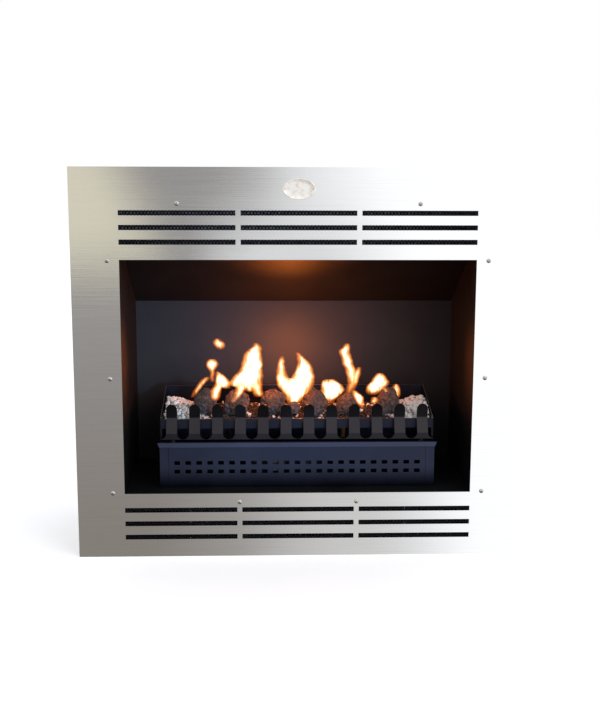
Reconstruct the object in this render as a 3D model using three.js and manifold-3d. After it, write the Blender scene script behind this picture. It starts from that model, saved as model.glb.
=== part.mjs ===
// Built-in gas fireplace insert: a stainless front plate with louvre slots, a folded steel firebox inside
// a galvanised casing, and a gas grate with a castellated fret, a perforated cover and ceramic coals.
// Millimetres. X runs across the front, Y from the front plate back into the wall, Z up from the hearth.
// The pieces are drawn with the front face of the plate at y = 0; the group then moves them all so that
// the origin lies under the middle of the whole insert.

import * as THREE from 'three';
import { mergeGeometries, mergeVertices } from 'three/addons/utils/BufferGeometryUtils.js';
import Module from 'manifold-3d';

const wasm = await Module();
wasm.setup();

// ---------------------------------------------------------------- driving dimensions

// Clearances between pieces
const seatGap = 0.3;
const runningGap = 0.3;

// Fire opening and the louvre slots above and below it
const openingWidth = 630;
const openingHeight = 425;
const slotRows = 3;
const slotColumns = 3;
const slotHeight = 9;
const slotPitch = 25.4;
const slotBridge = 9;
const slotToOpening = 31;
const hearthToSlot = 37.2;
const slotToCasingTop = 29.2;

// Front plate and casing
const plateSheet = 2;
const sideOverlap = 45;
const topOverlap = 50;
const casingSheet = 1.2;
const casingSideGap = 40;
const casingFrontFlange = 30;
const casingRearFlange = 16;
const casingTopFlange = 17;
const casingBaseFlange = 26;
const rearAirGap = 45.8;

// Screws and name plate
const screwHeadRadius = 4;
const screwHeadRise = 2.6;
const screwShankRadius = 2;
const screwShankLength = 9;
const topScrewDrop = 13;
const bottomScrewDrop = 16.5;
const sideScrewInset = 21;
const sideScrewMargin = 22.5;
const namePlateWidth = 57;
const namePlateHeight = 36.5;
const namePlateSheet = 0.8;
const namePlateDrop = 37.6;

// Vent mesh behind the slots
const meshSheet = 1;
const meshOverlap = 5;
const meshHoleLength = 24;
const meshHoleHeight = 6;
const meshHolePitch = 32;

// Firebox
const fireboxSheet = 1.5;
const fireboxDepth = 248;
const fireboxBackHeight = 323;
const shelfRise = 21;
const shelfDepth = 43;
const shelfFlange = 15;
const ceilingRearFlange = 22;
const floorFrontFlange = 21;
const sideFlange = 33.5;
const bearerSheet = 2;
const bearerWidth = 30;
const bearerSpacing = 400;
const bearerSetback = 28;
const bearerLength = 200;
const stayWidth = 60;
const stayFlange = 20;
const stayHeight = 300;

// Grate box
const burnerWidth = 508;
const burnerSetback = 38;
const burnerDepth = 160;
const burnerHeight = 85;
const burnerSheet = 1.5;
const postWidth = 16;
const boxTopFlange = 9.5;
const railSetback = 4;
const railDepth = 16;
const railFlange = 12;

// Perforated cover
const coverSheet = 1.2;
const coverGap = 0.5;
const coverReturn = 8;
const coverHoleColumns = 23;
const coverHoleRows = 2;
const coverHoleWidth = 10.5;
const coverHoleHeight = 7;
const coverHolePitch = 20.2;
const coverRowPitch = 16.4;
const coverUpperRow = 46.6;
const lipHeight = 8;
const lipLean = 2.4;
const lipStep = 4.4;
const lipFlare = 4;
const lipSheet = 1;

// Tray and the upstand around it
const trayStandOff = 22;
const trayHeight = 18;
const traySheet = 1.5;
const traySetback = 20;
const grateBackHeight = 76;
const grateSheet = 1.5;

// Castellated fret
const tabCount = 12;
const fretEndGap = 0.8;
const tabWidth = 20;
const fretSheet = 2;
const fretStandOff = 3;
const fretSetback = 4;
const fretBandHeight = 13;
const fretLean = 13;
const fretLeanHeight = 27;
const tipReturn = 7;
const tipHeight = 26;
const fretFlange = 15;
const gapFloor = 2.3;
const fretPadRadius = 6;
const fretPadInset = 24;

// Gas controls behind the cover
const bracketSetback = 40;
const bracketSheet = 1.5;
const bracketLeft = -88;
const bracketRight = 52;
const bracketHeight = 76;
const bracketFoot = 24;
const controlRise = 39.5;
const valveX = -40;
const valveWidth = 56;
const valveHeight = 44;
const valveDepth = 64;
const valveCorner = 6;
const bossRadius = 14;
const bossRise = 6;
const rotorRadius = 9;
const rotorDepth = 4;
const spindleRadius = 3;
const spindleLength = 50;
const spindleSocket = 16;
const knobSkirtRadius = 19;
const knobSkirt = 4;
const knobRadius = 15;
const knobDepth = 20;
const knobFlutes = 12;
const fluteRadius = 3;
const pointerWidth = 2.4;
const pointerRise = 1.2;
const knobTravel = 4;
const igniterX = 20;
const igniterRadius = 9;
const igniterLength = 43;
const collarRadius = 11.5;
const collarDepth = 4;
const buttonRadius = 5;
const buttonLength = 32;
const buttonProud = 14;
const buttonTravel = 6;

// Burner tube, gas lines and pilot
const tubeRadius = 13;
const tubeWall = 1.5;
const tubeLength = 450;
const burnerLine = 90;
const portCount = 12;
const portLength = 18;
const portWidth = 2;
const venturiX = 90;
const venturiRadius = 8;
const venturiFlare = 13;
const venturiFlareHeight = 14;
const venturiDrop = 62;
const venturiWall = 1.5;
const feedRadius = 4;
const feedRise = 24;
const bendRadius = 18;
const supplyRadius = 6;
const supplyLine = 70;
const supplyHeight = 60;
const supplyBend = 30;
const fittingHex = 14;
const fittingHexDepth = 12;
const fittingRadius = 10;
const fittingTail = 11;
const fittingInside = 12;
const locknutHex = 17;
const locknutDepth = 6;
const pilotX = -130;
const pilotSetback = 146;
const pilotStrapWidth = 56;
const pilotStrapDepth = 20;
const pilotSheet = 1.5;
const pilotRadius = 5;
const pilotHeight = 22;
const pilotSpacing = 12;
const pilotPipeRadius = 2;
const probeRadius = 1.6;
const sleeveRadius = 2.5;
const sleeveRise = 10;
const sleeveDrop = 9;
const electrodeRadius = 1;
const electrodeTip = 8;
const windowMargin = 8;

// Granule bed: height at its front and rear edges, rise of its middle, and the mounds heaped at both ends
const bedEdge = 16;
const bedCrown = 15;
const bedEndMound = 14;
const bedEndReach = 75;
const bedRipple = 1.6;

// Ceramic coals: centre x, distance behind the tray lip, height over the tray floor, radius, half height
const coals = [
  { name: 'ceramic_coal_1', x: -171, setback: 38, rise: 42, radius: 20, halfHeight: 27 },
  { name: 'ceramic_coal_2', x: -113, setback: 37, rise: 37, radius: 24, halfHeight: 28 },
  { name: 'ceramic_coal_3', x: -45, setback: 38, rise: 40, radius: 24, halfHeight: 29 },
  { name: 'ceramic_coal_4', x: 32, setback: 37, rise: 37, radius: 24, halfHeight: 27 },
  { name: 'ceramic_coal_5', x: 95, setback: 36, rise: 32, radius: 21, halfHeight: 25 },
  { name: 'ceramic_coal_6', x: 171, setback: 37, rise: 38, radius: 23, halfHeight: 28 },
  { name: 'ceramic_chunk', x: -6, setback: 29, rise: 31, radius: 12, halfHeight: 12 },
];
const coalRoughness = 0.09;

// ---------------------------------------------------------------- sizes worked out from the above

const slotLength = (openingWidth - (slotColumns - 1) * slotBridge) / slotColumns;
const slotStep = slotLength + slotBridge;
const openingBottom = hearthToSlot + (slotRows - 1) * slotPitch + slotToOpening;
const openingTop = openingBottom + openingHeight;
const casingHeight = openingTop + slotToOpening + (slotRows - 1) * slotPitch + slotToCasingTop;
const casingHalf = openingWidth / 2 + casingSideGap;
const plateHalf = casingHalf + sideOverlap;
const plateHeight = casingHeight + topOverlap;
const screwHoleRadius = screwShankRadius + runningGap;

const plateRear = plateSheet;
const fireboxHalf = openingWidth / 2;
const fireboxRear = plateRear + fireboxDepth;
const floorUnderside = openingBottom - fireboxSheet;
const sideFlangeBottom = openingBottom - floorFrontFlange;
const shelfZ = openingTop + shelfRise;
const shelfY = plateRear + shelfDepth;
const ceilingBackZ = openingBottom + fireboxBackHeight;
const ceilingSlope = (shelfZ - ceilingBackZ) / (fireboxRear - shelfY);
const ceilingZ = (y) => shelfZ - (y - shelfY) * ceilingSlope;
const flangeRear = plateRear + fireboxSheet;
const rearFlangeY = fireboxRear + fireboxSheet;
const casingBackInside = rearFlangeY + fireboxSheet + rearAirGap;
const casingRear = casingBackInside + casingSheet;

const burnerHalf = burnerWidth / 2;
const boxFront = plateRear + burnerSetback;
const boxRear = boxFront + burnerDepth;
const boxTop = openingBottom + burnerHeight;
const boxFloorTop = openingBottom + burnerSheet;
const boxInside = burnerHalf - burnerSheet;
const trayHalf = boxInside - 0.5;
const trayFront = boxFront + traySetback;
const trayRear = boxRear - burnerSheet - seatGap;
const trayUnderside = boxTop + trayStandOff;
const trayFloor = trayUnderside + traySheet;
const lipTop = trayUnderside + trayHeight;
const fretBase = boxTop + fretStandOff;
const fretFront = boxFront + fretSetback;
const tabPitch = (burnerWidth - 2 * fretEndGap) / tabCount;

const bracketFront = boxFront + bracketSetback;
const bracketRear = bracketFront + bracketSheet;
const controlZ = boxFloorTop + controlRise;
const bossFront = bracketFront - bossRise;
const knobRear = bossFront - knobTravel - 0.5;
const knobFront = knobRear - knobDepth;
const spindleFront = knobRear - spindleSocket + runningGap;
const spindleRear = spindleFront + spindleLength;
const valveRear = bracketRear + valveDepth;
const valveBottom = controlZ - valveHeight / 2;
const burnerY = boxFront + burnerLine;
const supplyY = boxFront + supplyLine;
const pilotY = boxFront + pilotSetback;
const tubeZ = trayFloor + tubeRadius + seatGap;
const venturiTop = tubeZ - tubeRadius - seatGap;
const feedZ = boxFloorTop + feedRise;

const sideScrewTop = shelfZ - sideScrewMargin;
const sideScrewBottom = sideFlangeBottom + sideScrewMargin;
const sideScrewRows = [sideScrewTop, (sideScrewTop + sideScrewBottom) / 2, sideScrewBottom];
const screwPlaces = [
  [-slotStep, casingHeight - topScrewDrop],
  [slotStep, casingHeight - topScrewDrop],
  ...sideScrewRows.flatMap((z) => [-1, 1].map((side) => [side * (fireboxHalf + sideScrewInset), z])),
  [-slotStep / 2, openingBottom - bottomScrewDrop],
  [slotStep / 2, openingBottom - bottomScrewDrop],
];

// ---------------------------------------------------------------- finishes

function finish(color, metalness, roughness) {
  return new THREE.MeshStandardMaterial({ color, metalness, roughness });
}

const brushedSteel = finish(0xb9b4ab, 1, 0.34);
const screwSteel = finish(0xc9c6c0, 1, 0.28);
const nameMetal = finish(0xd8cfba, 0.9, 0.4);
const meshPaint = finish(0x2b2f3a, 0.6, 0.6);
const galvanised = finish(0xa4a9ab, 0.9, 0.5);
const fireboxPaint = finish(0x17181b, 0.2, 0.62);
const gratePaint = finish(0x23262e, 0.3, 0.5);
const fretPaint = finish(0x2a2c33, 0.35, 0.45);
const castMetal = finish(0x8f9294, 0.8, 0.5);
const brass = finish(0xb08d4c, 1, 0.35);
const blackPlastic = finish(0x141414, 0, 0.5);
const copper = finish(0xb36a45, 1, 0.4);
const stainlessTube = finish(0x9b9a98, 1, 0.4);
const granules = finish(0xd9cfc0, 0, 0.95);
const ceramic = finish(0x5b4138, 0, 0.9);
const porcelain = finish(0xe8e4da, 0, 0.35);

// ---------------------------------------------------------------- making solids

// Turns a three.js geometry into a closed solid.
function solid(geometry) {
  const bare = geometry.clone();
  bare.deleteAttribute('normal');
  bare.deleteAttribute('uv');
  const merged = mergeVertices(bare, 1e-4);
  return new wasm.Manifold(new wasm.Mesh({
    numProp: 3,
    vertProperties: new Float32Array(merged.attributes.position.array),
    triVerts: new Uint32Array(merged.index.array),
  }));
}

// Turns a solid back into a three.js geometry with flat facets.
function facets(shape) {
  const mesh = shape.getMesh();
  const indexed = new THREE.BufferGeometry();
  indexed.setAttribute('position', new THREE.BufferAttribute(new Float32Array(mesh.vertProperties), 3));
  indexed.setIndex(new THREE.BufferAttribute(new Uint32Array(mesh.triVerts), 1));
  const geometry = indexed.toNonIndexed();
  geometry.computeVertexNormals();
  return geometry;
}

// A block between two corners.
function block([x0, y0, z0], [x1, y1, z1]) {
  const geometry = new THREE.BoxGeometry(x1 - x0, y1 - y0, z1 - z0);
  geometry.translate((x0 + x1) / 2, (y0 + y1) / 2, (z0 + z1) / 2);
  return geometry;
}

// Outlines drawn in the plane square to an axis, extruded along it. For X the outline is (y, z), for Y it
// is (x, z) and for Z it is (x, y).
function extrude(axis, outline, from, to, curveSegments = 3) {
  const settings = { depth: to - from, bevelEnabled: false, curveSegments };
  const geometry = new THREE.ExtrudeGeometry(outline, settings);
  const x = new THREE.Vector3(1, 0, 0);
  const y = new THREE.Vector3(0, 1, 0);
  const z = new THREE.Vector3(0, 0, 1);
  if (axis === 'x') {
    geometry.applyMatrix4(new THREE.Matrix4().makeBasis(y, z, x));
    geometry.translate(from, 0, 0);
  } else if (axis === 'y') {
    geometry.applyMatrix4(new THREE.Matrix4().makeBasis(x, z, y.clone().negate()));
    geometry.translate(0, to, 0);
  } else {
    geometry.translate(0, 0, from);
  }
  return geometry;
}

function polygon(points) {
  return new THREE.Shape(points.map(([u, v]) => new THREE.Vector2(u, v)));
}

function rectangle(u0, v0, u1, v1) {
  return polygon([[u0, v0], [u1, v0], [u1, v1], [u0, v1]]);
}

// The section of a folded sheet: a face line with a mitred wall of the given thickness on its left.
// A negative thickness puts the wall on its right.
function foldedSheet(points, thickness) {
  const face = points.map(([u, v]) => new THREE.Vector2(u, v));
  const normals = face.slice(1).map((point, i) => {
    const run = point.clone().sub(face[i]).normalize();
    return new THREE.Vector2(-run.y, run.x);
  });
  const wall = face.map((point, i) => {
    const before = normals[Math.max(i - 1, 0)];
    const after = normals[Math.min(i, normals.length - 1)];
    const mitre = before.clone().add(after);
    return point.clone().addScaledVector(mitre, (2 * thickness) / mitre.lengthSq());
  });
  return new THREE.Shape([...face, ...wall.reverse()]);
}

// A round bar along an axis, centred on the other two coordinates.
function bar(axis, radius, from, to, [a, b], sides = 16) {
  const geometry = new THREE.CylinderGeometry(radius, radius, to - from, sides);
  const middle = (from + to) / 2;
  if (axis === 'x') {
    geometry.rotateZ(Math.PI / 2);
    geometry.translate(middle, a, b);
  } else if (axis === 'y') {
    geometry.translate(a, middle, b);
  } else {
    geometry.rotateX(Math.PI / 2);
    geometry.translate(a, b, middle);
  }
  return geometry;
}

// A pipe through corner points, bent at each corner with the given radius.
function pipe(corners, radius, bend, sides, steps) {
  const points = corners.map((corner) => new THREE.Vector3(...corner));
  const path = new THREE.CurvePath();
  let start = points[0];
  for (let i = 1; i < points.length - 1; i += 1) {
    const corner = points[i];
    const toward = points[i - 1].clone().sub(corner).setLength(bend);
    const away = points[i + 1].clone().sub(corner).setLength(bend);
    const enter = corner.clone().add(toward);
    const leave = corner.clone().add(away);
    path.add(new THREE.LineCurve3(start, enter));
    path.add(new THREE.QuadraticBezierCurve3(enter, corner, leave));
    start = leave;
  }
  path.add(new THREE.LineCurve3(start, points[points.length - 1]));
  const section = new THREE.Shape();
  section.absarc(0, 0, radius, 0, 2 * Math.PI, false);
  return new THREE.ExtrudeGeometry(section, { steps, extrudePath: path, curveSegments: sides / 2 });
}

const insert = new THREE.Group();

function add(name, shape, material) {
  const geometry = shape.isBufferGeometry ? shape : facets(shape);
  const mesh = new THREE.Mesh(geometry, material);
  mesh.name = name;
  insert.add(mesh);
  return mesh;
}

// ---------------------------------------------------------------- front plate

function slotCentres(side) {
  const nearest = side > 0 ? openingTop + slotToOpening : openingBottom - slotToOpening;
  return Array.from({ length: slotRows }, (_, row) => nearest + side * row * slotPitch);
}

function columnCentres() {
  return Array.from({ length: slotColumns }, (_, column) => (column - (slotColumns - 1) / 2) * slotStep);
}

// Blocks that cut rectangular holes through a sheet lying behind the plate's front face.
function windows(centres, width, height, depth) {
  return solid(mergeGeometries(centres.map(([x, z]) => block(
    [x - width / 2, -1, z - height / 2], [x + width / 2, depth + 1, z + height / 2],
  ))));
}

function frontPlate() {
  const panel = block([-casingHalf, 0, 0], [casingHalf, plateSheet, casingHeight]);
  const margin = polygon([
    [-plateHalf, 0], [-casingHalf, 0], [-casingHalf, casingHeight], [casingHalf, casingHeight],
    [casingHalf, 0], [plateHalf, 0], [plateHalf, plateHeight], [-plateHalf, plateHeight],
  ]);
  const slots = [...slotCentres(1), ...slotCentres(-1)].flatMap((z) => columnCentres().map((x) => [x, z]));
  const opening = [[0, (openingBottom + openingTop) / 2]];
  return solid(panel)
    .add(solid(extrude('y', margin, 0, plateSheet)))
    .subtract(windows(opening, openingWidth, openingHeight, plateSheet))
    .subtract(windows(slots, slotLength, slotHeight, plateSheet))
    .subtract(screwHoles());
}

// Clearance holes for all the plate screws, long enough for every flange behind the plate.
function screwHoles() {
  return solid(mergeGeometries(screwPlaces.map(
    (place) => bar('y', screwHoleRadius, -1, screwShankLength + 1, place, 8),
  )));
}

function plateScrews() {
  screwPlaces.forEach(([x, z], i) => {
    const profile = [
      [0, -screwHeadRise],
      [screwHeadRadius * 0.55, -screwHeadRise * 0.92],
      [screwHeadRadius * 0.88, -screwHeadRise * 0.6],
      [screwHeadRadius, 0],
      [screwShankRadius, 0],
      [screwShankRadius, screwShankLength - screwShankRadius],
      [0, screwShankLength],
    ].map(([r, y]) => new THREE.Vector2(r, y));
    const screw = add(`plate_screw_${i + 1}`, solid(new THREE.LatheGeometry(profile, 8)), screwSteel);
    screw.position.set(x, 0, z);
  });
}

function namePlate() {
  const oval = new THREE.Shape();
  const bevel = namePlateSheet / 2;
  oval.absellipse(0, 0, namePlateWidth / 2 - bevel, namePlateHeight / 2 - bevel, 0, 2 * Math.PI, false);
  const geometry = new THREE.ExtrudeGeometry(oval, {
    depth: namePlateSheet - bevel,
    curveSegments: 14,
    bevelSegments: 1,
    bevelSize: bevel,
    bevelThickness: bevel,
  });
  geometry.rotateX(Math.PI / 2);
  geometry.translate(0, 0, plateHeight - namePlateDrop);
  const front = block([-namePlateWidth, -namePlateSheet * 2, 0], [namePlateWidth, 0, plateHeight]);
  return solid(geometry).intersect(solid(front));
}

// A perforated sheet behind one bank of slots, between the flanges above and below it, with a row of
// long holes at each slot.
function ventMesh(side) {
  const [low, high] = side > 0
    ? [shelfZ + fireboxSheet, casingHeight - casingTopFlange]
    : [casingBaseFlange, sideFlangeBottom];
  const half = fireboxHalf + meshOverlap;
  const count = Math.floor((2 * half - meshHoleLength) / meshHolePitch);
  const columns = Array.from({ length: count }, (_, i) => (i - (count - 1) / 2) * meshHolePitch);
  const holes = slotCentres(side).flatMap((z) => columns.map((x) => [x, z]));
  return solid(block([-half, plateRear, low + seatGap], [half, plateRear + meshSheet, high - seatGap]))
    .subtract(windows(holes, meshHoleLength, meshHoleHeight, plateRear + meshSheet));
}

// ---------------------------------------------------------------- casing

function casingBase() {
  const section = foldedSheet([[plateRear, casingBaseFlange], [plateRear, 0], [casingRear, 0]], casingSheet);
  return solid(extrude('x', section, -casingHalf, casingHalf));
}

function casingTop() {
  const section = foldedSheet([
    [plateRear, casingHeight - casingTopFlange], [plateRear, casingHeight], [casingRear, casingHeight],
  ], -casingSheet);
  return solid(extrude('x', section, -casingHalf, casingHalf)).subtract(screwHoles());
}

function casingBack() {
  return solid(block(
    [-casingHalf, casingBackInside, casingSheet],
    [casingHalf, casingRear, casingHeight - casingSheet],
  ));
}

function casingSide(side) {
  const section = foldedSheet([
    [side * (casingHalf - casingFrontFlange), flangeRear],
    [side * casingHalf, flangeRear],
    [side * casingHalf, casingBackInside],
    [side * (casingHalf - casingRearFlange), casingBackInside],
  ], side * casingSheet);
  const sheet = solid(extrude('z', section, casingSheet, casingHeight - casingSheet)).subtract(screwHoles());
  if (side < 0) {
    return sheet;
  }
  const inside = casingHalf - 2 * casingSheet;
  const outside = casingHalf + casingSheet;
  const hole = bar('x', fittingRadius + runningGap, inside, outside, [supplyY, supplyHeight]);
  return sheet.subtract(solid(hole));
}

// ---------------------------------------------------------------- firebox

function fireboxFloor() {
  const section = foldedSheet([
    [plateRear, sideFlangeBottom], [plateRear, openingBottom], [fireboxRear, openingBottom],
  ], -fireboxSheet);
  const panel = solid(extrude('x', section, -fireboxHalf, fireboxHalf));
  return panel.subtract(screwHoles()).subtract(supplyHole());
}

function supplyHole() {
  return solid(bar('z', supplyRadius + 2, floorUnderside - 1, boxFloorTop + 1, [valveX, supplyY], 12));
}

function fireboxBack() {
  return solid(block(
    [-fireboxHalf, fireboxRear, floorUnderside],
    [fireboxHalf, rearFlangeY, ceilingZ(rearFlangeY) - seatGap],
  ));
}

function fireboxCeiling() {
  const section = foldedSheet([
    [flangeRear, shelfZ - shelfFlange],
    [flangeRear, shelfZ],
    [shelfY, shelfZ],
    [rearFlangeY, ceilingZ(rearFlangeY)],
    [rearFlangeY, ceilingZ(rearFlangeY) - ceilingRearFlange],
  ], fireboxSheet);
  return solid(extrude('x', section, -fireboxHalf, fireboxHalf));
}

function fireboxSide(side) {
  const slopeWall = fireboxSheet * Math.hypot(1, ceilingSlope);
  const rear = rearFlangeY + fireboxSheet;
  const panel = polygon([
    [plateRear, floorUnderside], [rear, floorUnderside], [rear, ceilingZ(rear) + slopeWall],
    [shelfY, shelfZ + fireboxSheet], [plateRear, shelfZ + fireboxSheet],
  ]);
  const [inner, outer] = [fireboxHalf, fireboxHalf + fireboxSheet].map((x) => side * x);
  const wall = solid(extrude('x', panel, Math.min(inner, outer), Math.max(inner, outer)));
  const edge = side * (fireboxHalf + fireboxSheet + sideFlange);
  const flange = solid(block(
    [Math.min(inner, edge), plateRear, sideFlangeBottom],
    [Math.max(inner, edge), flangeRear, shelfZ],
  ));
  return wall.add(flange).subtract(screwHoles());
}

// A channel on edge that carries the firebox floor on the casing base.
function floorBearer(side) {
  const web = side * bearerSpacing / 2;
  const lip = web - side * bearerWidth;
  const section = foldedSheet([
    [lip, casingSheet], [web, casingSheet], [web, floorUnderside], [lip, floorUnderside],
  ], side * bearerSheet);
  const front = plateRear + bearerSetback;
  const channel = solid(extrude('y', section, front, front + bearerLength));
  if (side < 0) {
    return channel;
  }
  return channel.subtract(solid(bar(
    'x', supplyRadius + 4, web - 2 * bearerSheet, web + bearerSheet, [supplyY, supplyHeight],
  )));
}

function rearStay() {
  const section = foldedSheet([
    [rearFlangeY, stayHeight + stayFlange], [rearFlangeY, stayHeight],
    [casingBackInside, stayHeight], [casingBackInside, stayHeight + stayFlange],
  ], fireboxSheet);
  return solid(extrude('x', section, -stayWidth / 2, stayWidth / 2));
}

// ---------------------------------------------------------------- grate box and cover

function burnerBox() {
  const post = burnerHalf - postWidth;
  const walls = foldedSheet([
    [post, boxFront], [burnerHalf, boxFront], [burnerHalf, boxRear],
    [-burnerHalf, boxRear], [-burnerHalf, boxFront], [-post, boxFront],
  ], burnerSheet);
  const floor = block([-burnerHalf, boxFront, openingBottom], [burnerHalf, boxRear, boxFloorTop]);
  let box = solid(extrude('z', walls, openingBottom, boxTop)).add(solid(floor));
  for (const side of [-1, 1]) {
    const [a, b] = [boxInside + burnerSheet / 2, boxInside - boxTopFlange].map((x) => side * x);
    box = box.add(solid(block(
      [Math.min(a, b), trayFront, boxTop - burnerSheet],
      [Math.max(a, b), boxRear - burnerSheet / 2, boxTop],
    )));
  }
  return box.subtract(supplyHole());
}

// The angle across the open front of the box, under the fret.
function frontRail() {
  const front = boxFront + railSetback;
  const section = foldedSheet([
    [front, boxTop], [front + railDepth, boxTop], [front + railDepth, boxTop - railFlange],
  ], -burnerSheet);
  return solid(extrude('x', section, -boxInside, boxInside));
}

// The lift-off cover: a folded pan with two rows of holes, under a stepped lip that leans back and flares out
// at both ends.
function burnerCover() {
  const half = burnerHalf - postWidth - coverGap;
  const low = boxFloorTop + coverGap;
  const foldZ = boxTop - lipHeight;
  const pan = foldedSheet([
    [-half, boxFront + coverReturn], [-half, boxFront], [half, boxFront], [half, boxFront + coverReturn],
  ], coverSheet);
  const lipFace = [
    [boxFront, foldZ - lipSheet],
    [boxFront - lipStep, foldZ],
    [boxFront - lipStep + lipLean, boxTop],
  ];
  const foldFace = foldedSheet([[boxFront, foldZ - 2 * lipSheet], ...lipFace], -lipSheet);
  const joggle = extrude('x', foldFace, -half, half);
  const lipHalf = burnerHalf + lipFlare;
  const lip = solid(extrude('x', foldedSheet(lipFace.slice(1), -lipSheet), -lipHalf, lipHalf));
  const flare = extrude('y', polygon([
    [-burnerHalf, foldZ - lipSheet], [burnerHalf, foldZ - lipSheet], [lipHalf, boxTop], [-lipHalf, boxTop],
  ]), boxFront - 2 * lipStep, boxFront + coverSheet);
  const holes = [];
  for (let row = 0; row < coverHoleRows; row += 1) {
    const z = openingBottom + coverUpperRow - row * coverRowPitch;
    for (let column = 0; column < coverHoleColumns; column += 1) {
      const x = (column - (coverHoleColumns - 1) / 2) * coverHolePitch;
      holes.push(block(
        [x - coverHoleWidth / 2, boxFront - 1, z - coverHoleHeight / 2],
        [x + coverHoleWidth / 2, boxFront + coverSheet + 1, z + coverHoleHeight / 2],
      ));
    }
  }
  return solid(extrude('z', pan, low, foldZ - lipSheet))
    .subtract(solid(mergeGeometries(holes)))
    .add(solid(joggle))
    .add(lip.intersect(solid(flare)));
}

// ---------------------------------------------------------------- tray, upstand and fret

function fireTray() {
  const rim = rectangle(-trayHalf, trayFront, trayHalf, trayRear);
  rim.holes.push(rectangle(
    -trayHalf + traySheet, trayFront + traySheet, trayHalf - traySheet, trayRear - traySheet,
  ));
  let tray = solid(extrude('z', rim, trayUnderside, lipTop)).add(solid(block(
    [-trayHalf, trayFront, trayUnderside], [trayHalf, trayRear, trayFloor],
  )));
  for (const side of [-1, 1]) {
    const [a, b] = [trayHalf, trayHalf - traySheet].map((x) => side * x);
    tray = tray.add(solid(block(
      [Math.min(a, b), trayFront, boxTop], [Math.max(a, b), trayRear, trayFloor],
    )));
  }
  const venturiHole = bar('z', venturiRadius + 1, trayUnderside - 1, trayFloor + 1, [venturiX, burnerY]);
  const half = pilotStrapWidth / 2 - windowMargin;
  const pilotWindow = block(
    [pilotX - half, pilotY - pilotStrapDepth / 2 + windowMargin / 2, trayUnderside - 1],
    [pilotX + half, pilotY + pilotStrapDepth / 2 - windowMargin / 2, trayFloor + 1],
  );
  return tray.subtract(solid(venturiHole)).subtract(solid(pilotWindow));
}

function grateBack() {
  return solid(block(
    [-trayHalf, boxRear - grateSheet, boxTop], [trayHalf, boxRear, boxTop + grateBackHeight],
  ));
}

function grateSide(side) {
  const outline = polygon([
    [trayFront, boxTop], [boxRear, boxTop], [boxRear, boxTop + grateBackHeight], [trayFront, lipTop],
  ]);
  const [a, b] = [trayHalf + seatGap, trayHalf + seatGap + grateSheet].map((x) => side * x);
  return solid(extrude('x', outline, Math.min(a, b), Math.max(a, b)));
}

// The front view of the fret: tabs with round tips and round-bottomed gaps, and half a gap at each end.
function castellations() {
  const gapRadius = (tabPitch - tabWidth) / 2;
  const gapBottom = fretBase + gapFloor;
  const shoulder = fretBase + fretBandHeight + fretLeanHeight + tipHeight - tabWidth / 2;
  const end = tabCount * tabPitch / 2;
  const outline = new THREE.Shape();
  outline.moveTo(-end, fretBase - 1);
  outline.lineTo(-end, gapBottom);
  for (let i = 0; i < tabCount; i += 1) {
    const x = (i - (tabCount - 1) / 2) * tabPitch;
    const left = x - tabWidth / 2;
    const right = x + tabWidth / 2;
    outline.absarc(left - gapRadius, gapBottom + gapRadius, gapRadius, -Math.PI / 2, 0, false);
    outline.lineTo(left, shoulder);
    outline.absarc(x, shoulder, tabWidth / 2, Math.PI, 0, true);
    outline.lineTo(right, gapBottom + gapRadius);
    outline.absarc(right + gapRadius, gapBottom + gapRadius, gapRadius, Math.PI, 1.5 * Math.PI, false);
  }
  outline.lineTo(end, fretBase - 1);
  return outline;
}

function castellatedFret() {
  const end = tabCount * tabPitch / 2;
  const bend = fretBase + fretBandHeight;
  const section = foldedSheet([
    [fretFront + fretFlange, fretBase],
    [fretFront, fretBase],
    [fretFront, bend],
    [fretFront + fretLean, bend + fretLeanHeight],
    [fretFront + fretLean - tipReturn, bend + fretLeanHeight + tipHeight],
  ], -fretSheet);
  const sheet = solid(extrude('x', section, -end - 1, end + 1));
  const view = solid(extrude('y', castellations(), fretFront - 5, fretFront + fretLean + fretFlange));
  const pads = [-1, 1].map((side) => bar(
    'z', fretPadRadius, boxTop, fretBase + fretSheet / 2,
    [side * (burnerHalf - fretPadInset), fretFront + fretFlange / 2], 12,
  ));
  return sheet.intersect(view).add(solid(mergeGeometries(pads)));
}

// ---------------------------------------------------------------- gas controls

function controlBracket() {
  const section = foldedSheet([
    [bracketFront, boxFloorTop + bracketHeight], [bracketFront, boxFloorTop],
    [bracketFront + bracketFoot, boxFloorTop],
  ], bracketSheet);
  const ahead = bracketFront - 1;
  const behind = bracketRear + 1;
  const bossHole = bar('y', bossRadius + runningGap, ahead, behind, [valveX, controlZ]);
  const igniterHole = bar('y', igniterRadius + runningGap, ahead, behind, [igniterX, controlZ]);
  return solid(extrude('x', section, bracketLeft, bracketRight))
    .subtract(solid(bossHole))
    .subtract(solid(igniterHole));
}

function gasValve() {
  const [w, h, c] = [valveWidth / 2, valveHeight / 2, valveCorner];
  const face = polygon([
    [-w + c, -h], [w - c, -h], [w, -h + c], [w, h - c], [w - c, h], [-w + c, h], [-w, h - c], [-w, -h + c],
  ].map(([x, z]) => [valveX + x, controlZ + z]));
  const rotorSeat = bossFront + rotorDepth;
  return solid(extrude('y', face, bracketRear, valveRear))
    .add(solid(bar('y', bossRadius, bossFront, bracketRear + 1, [valveX, controlZ])))
    .subtract(solid(bar('y', rotorRadius + runningGap, bossFront - 1, rotorSeat, [valveX, controlZ])))
    .subtract(solid(bar(
      'y', spindleRadius + runningGap, bossFront, spindleRear + knobTravel + 2, [valveX, controlZ], 12,
    )));
}

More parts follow.
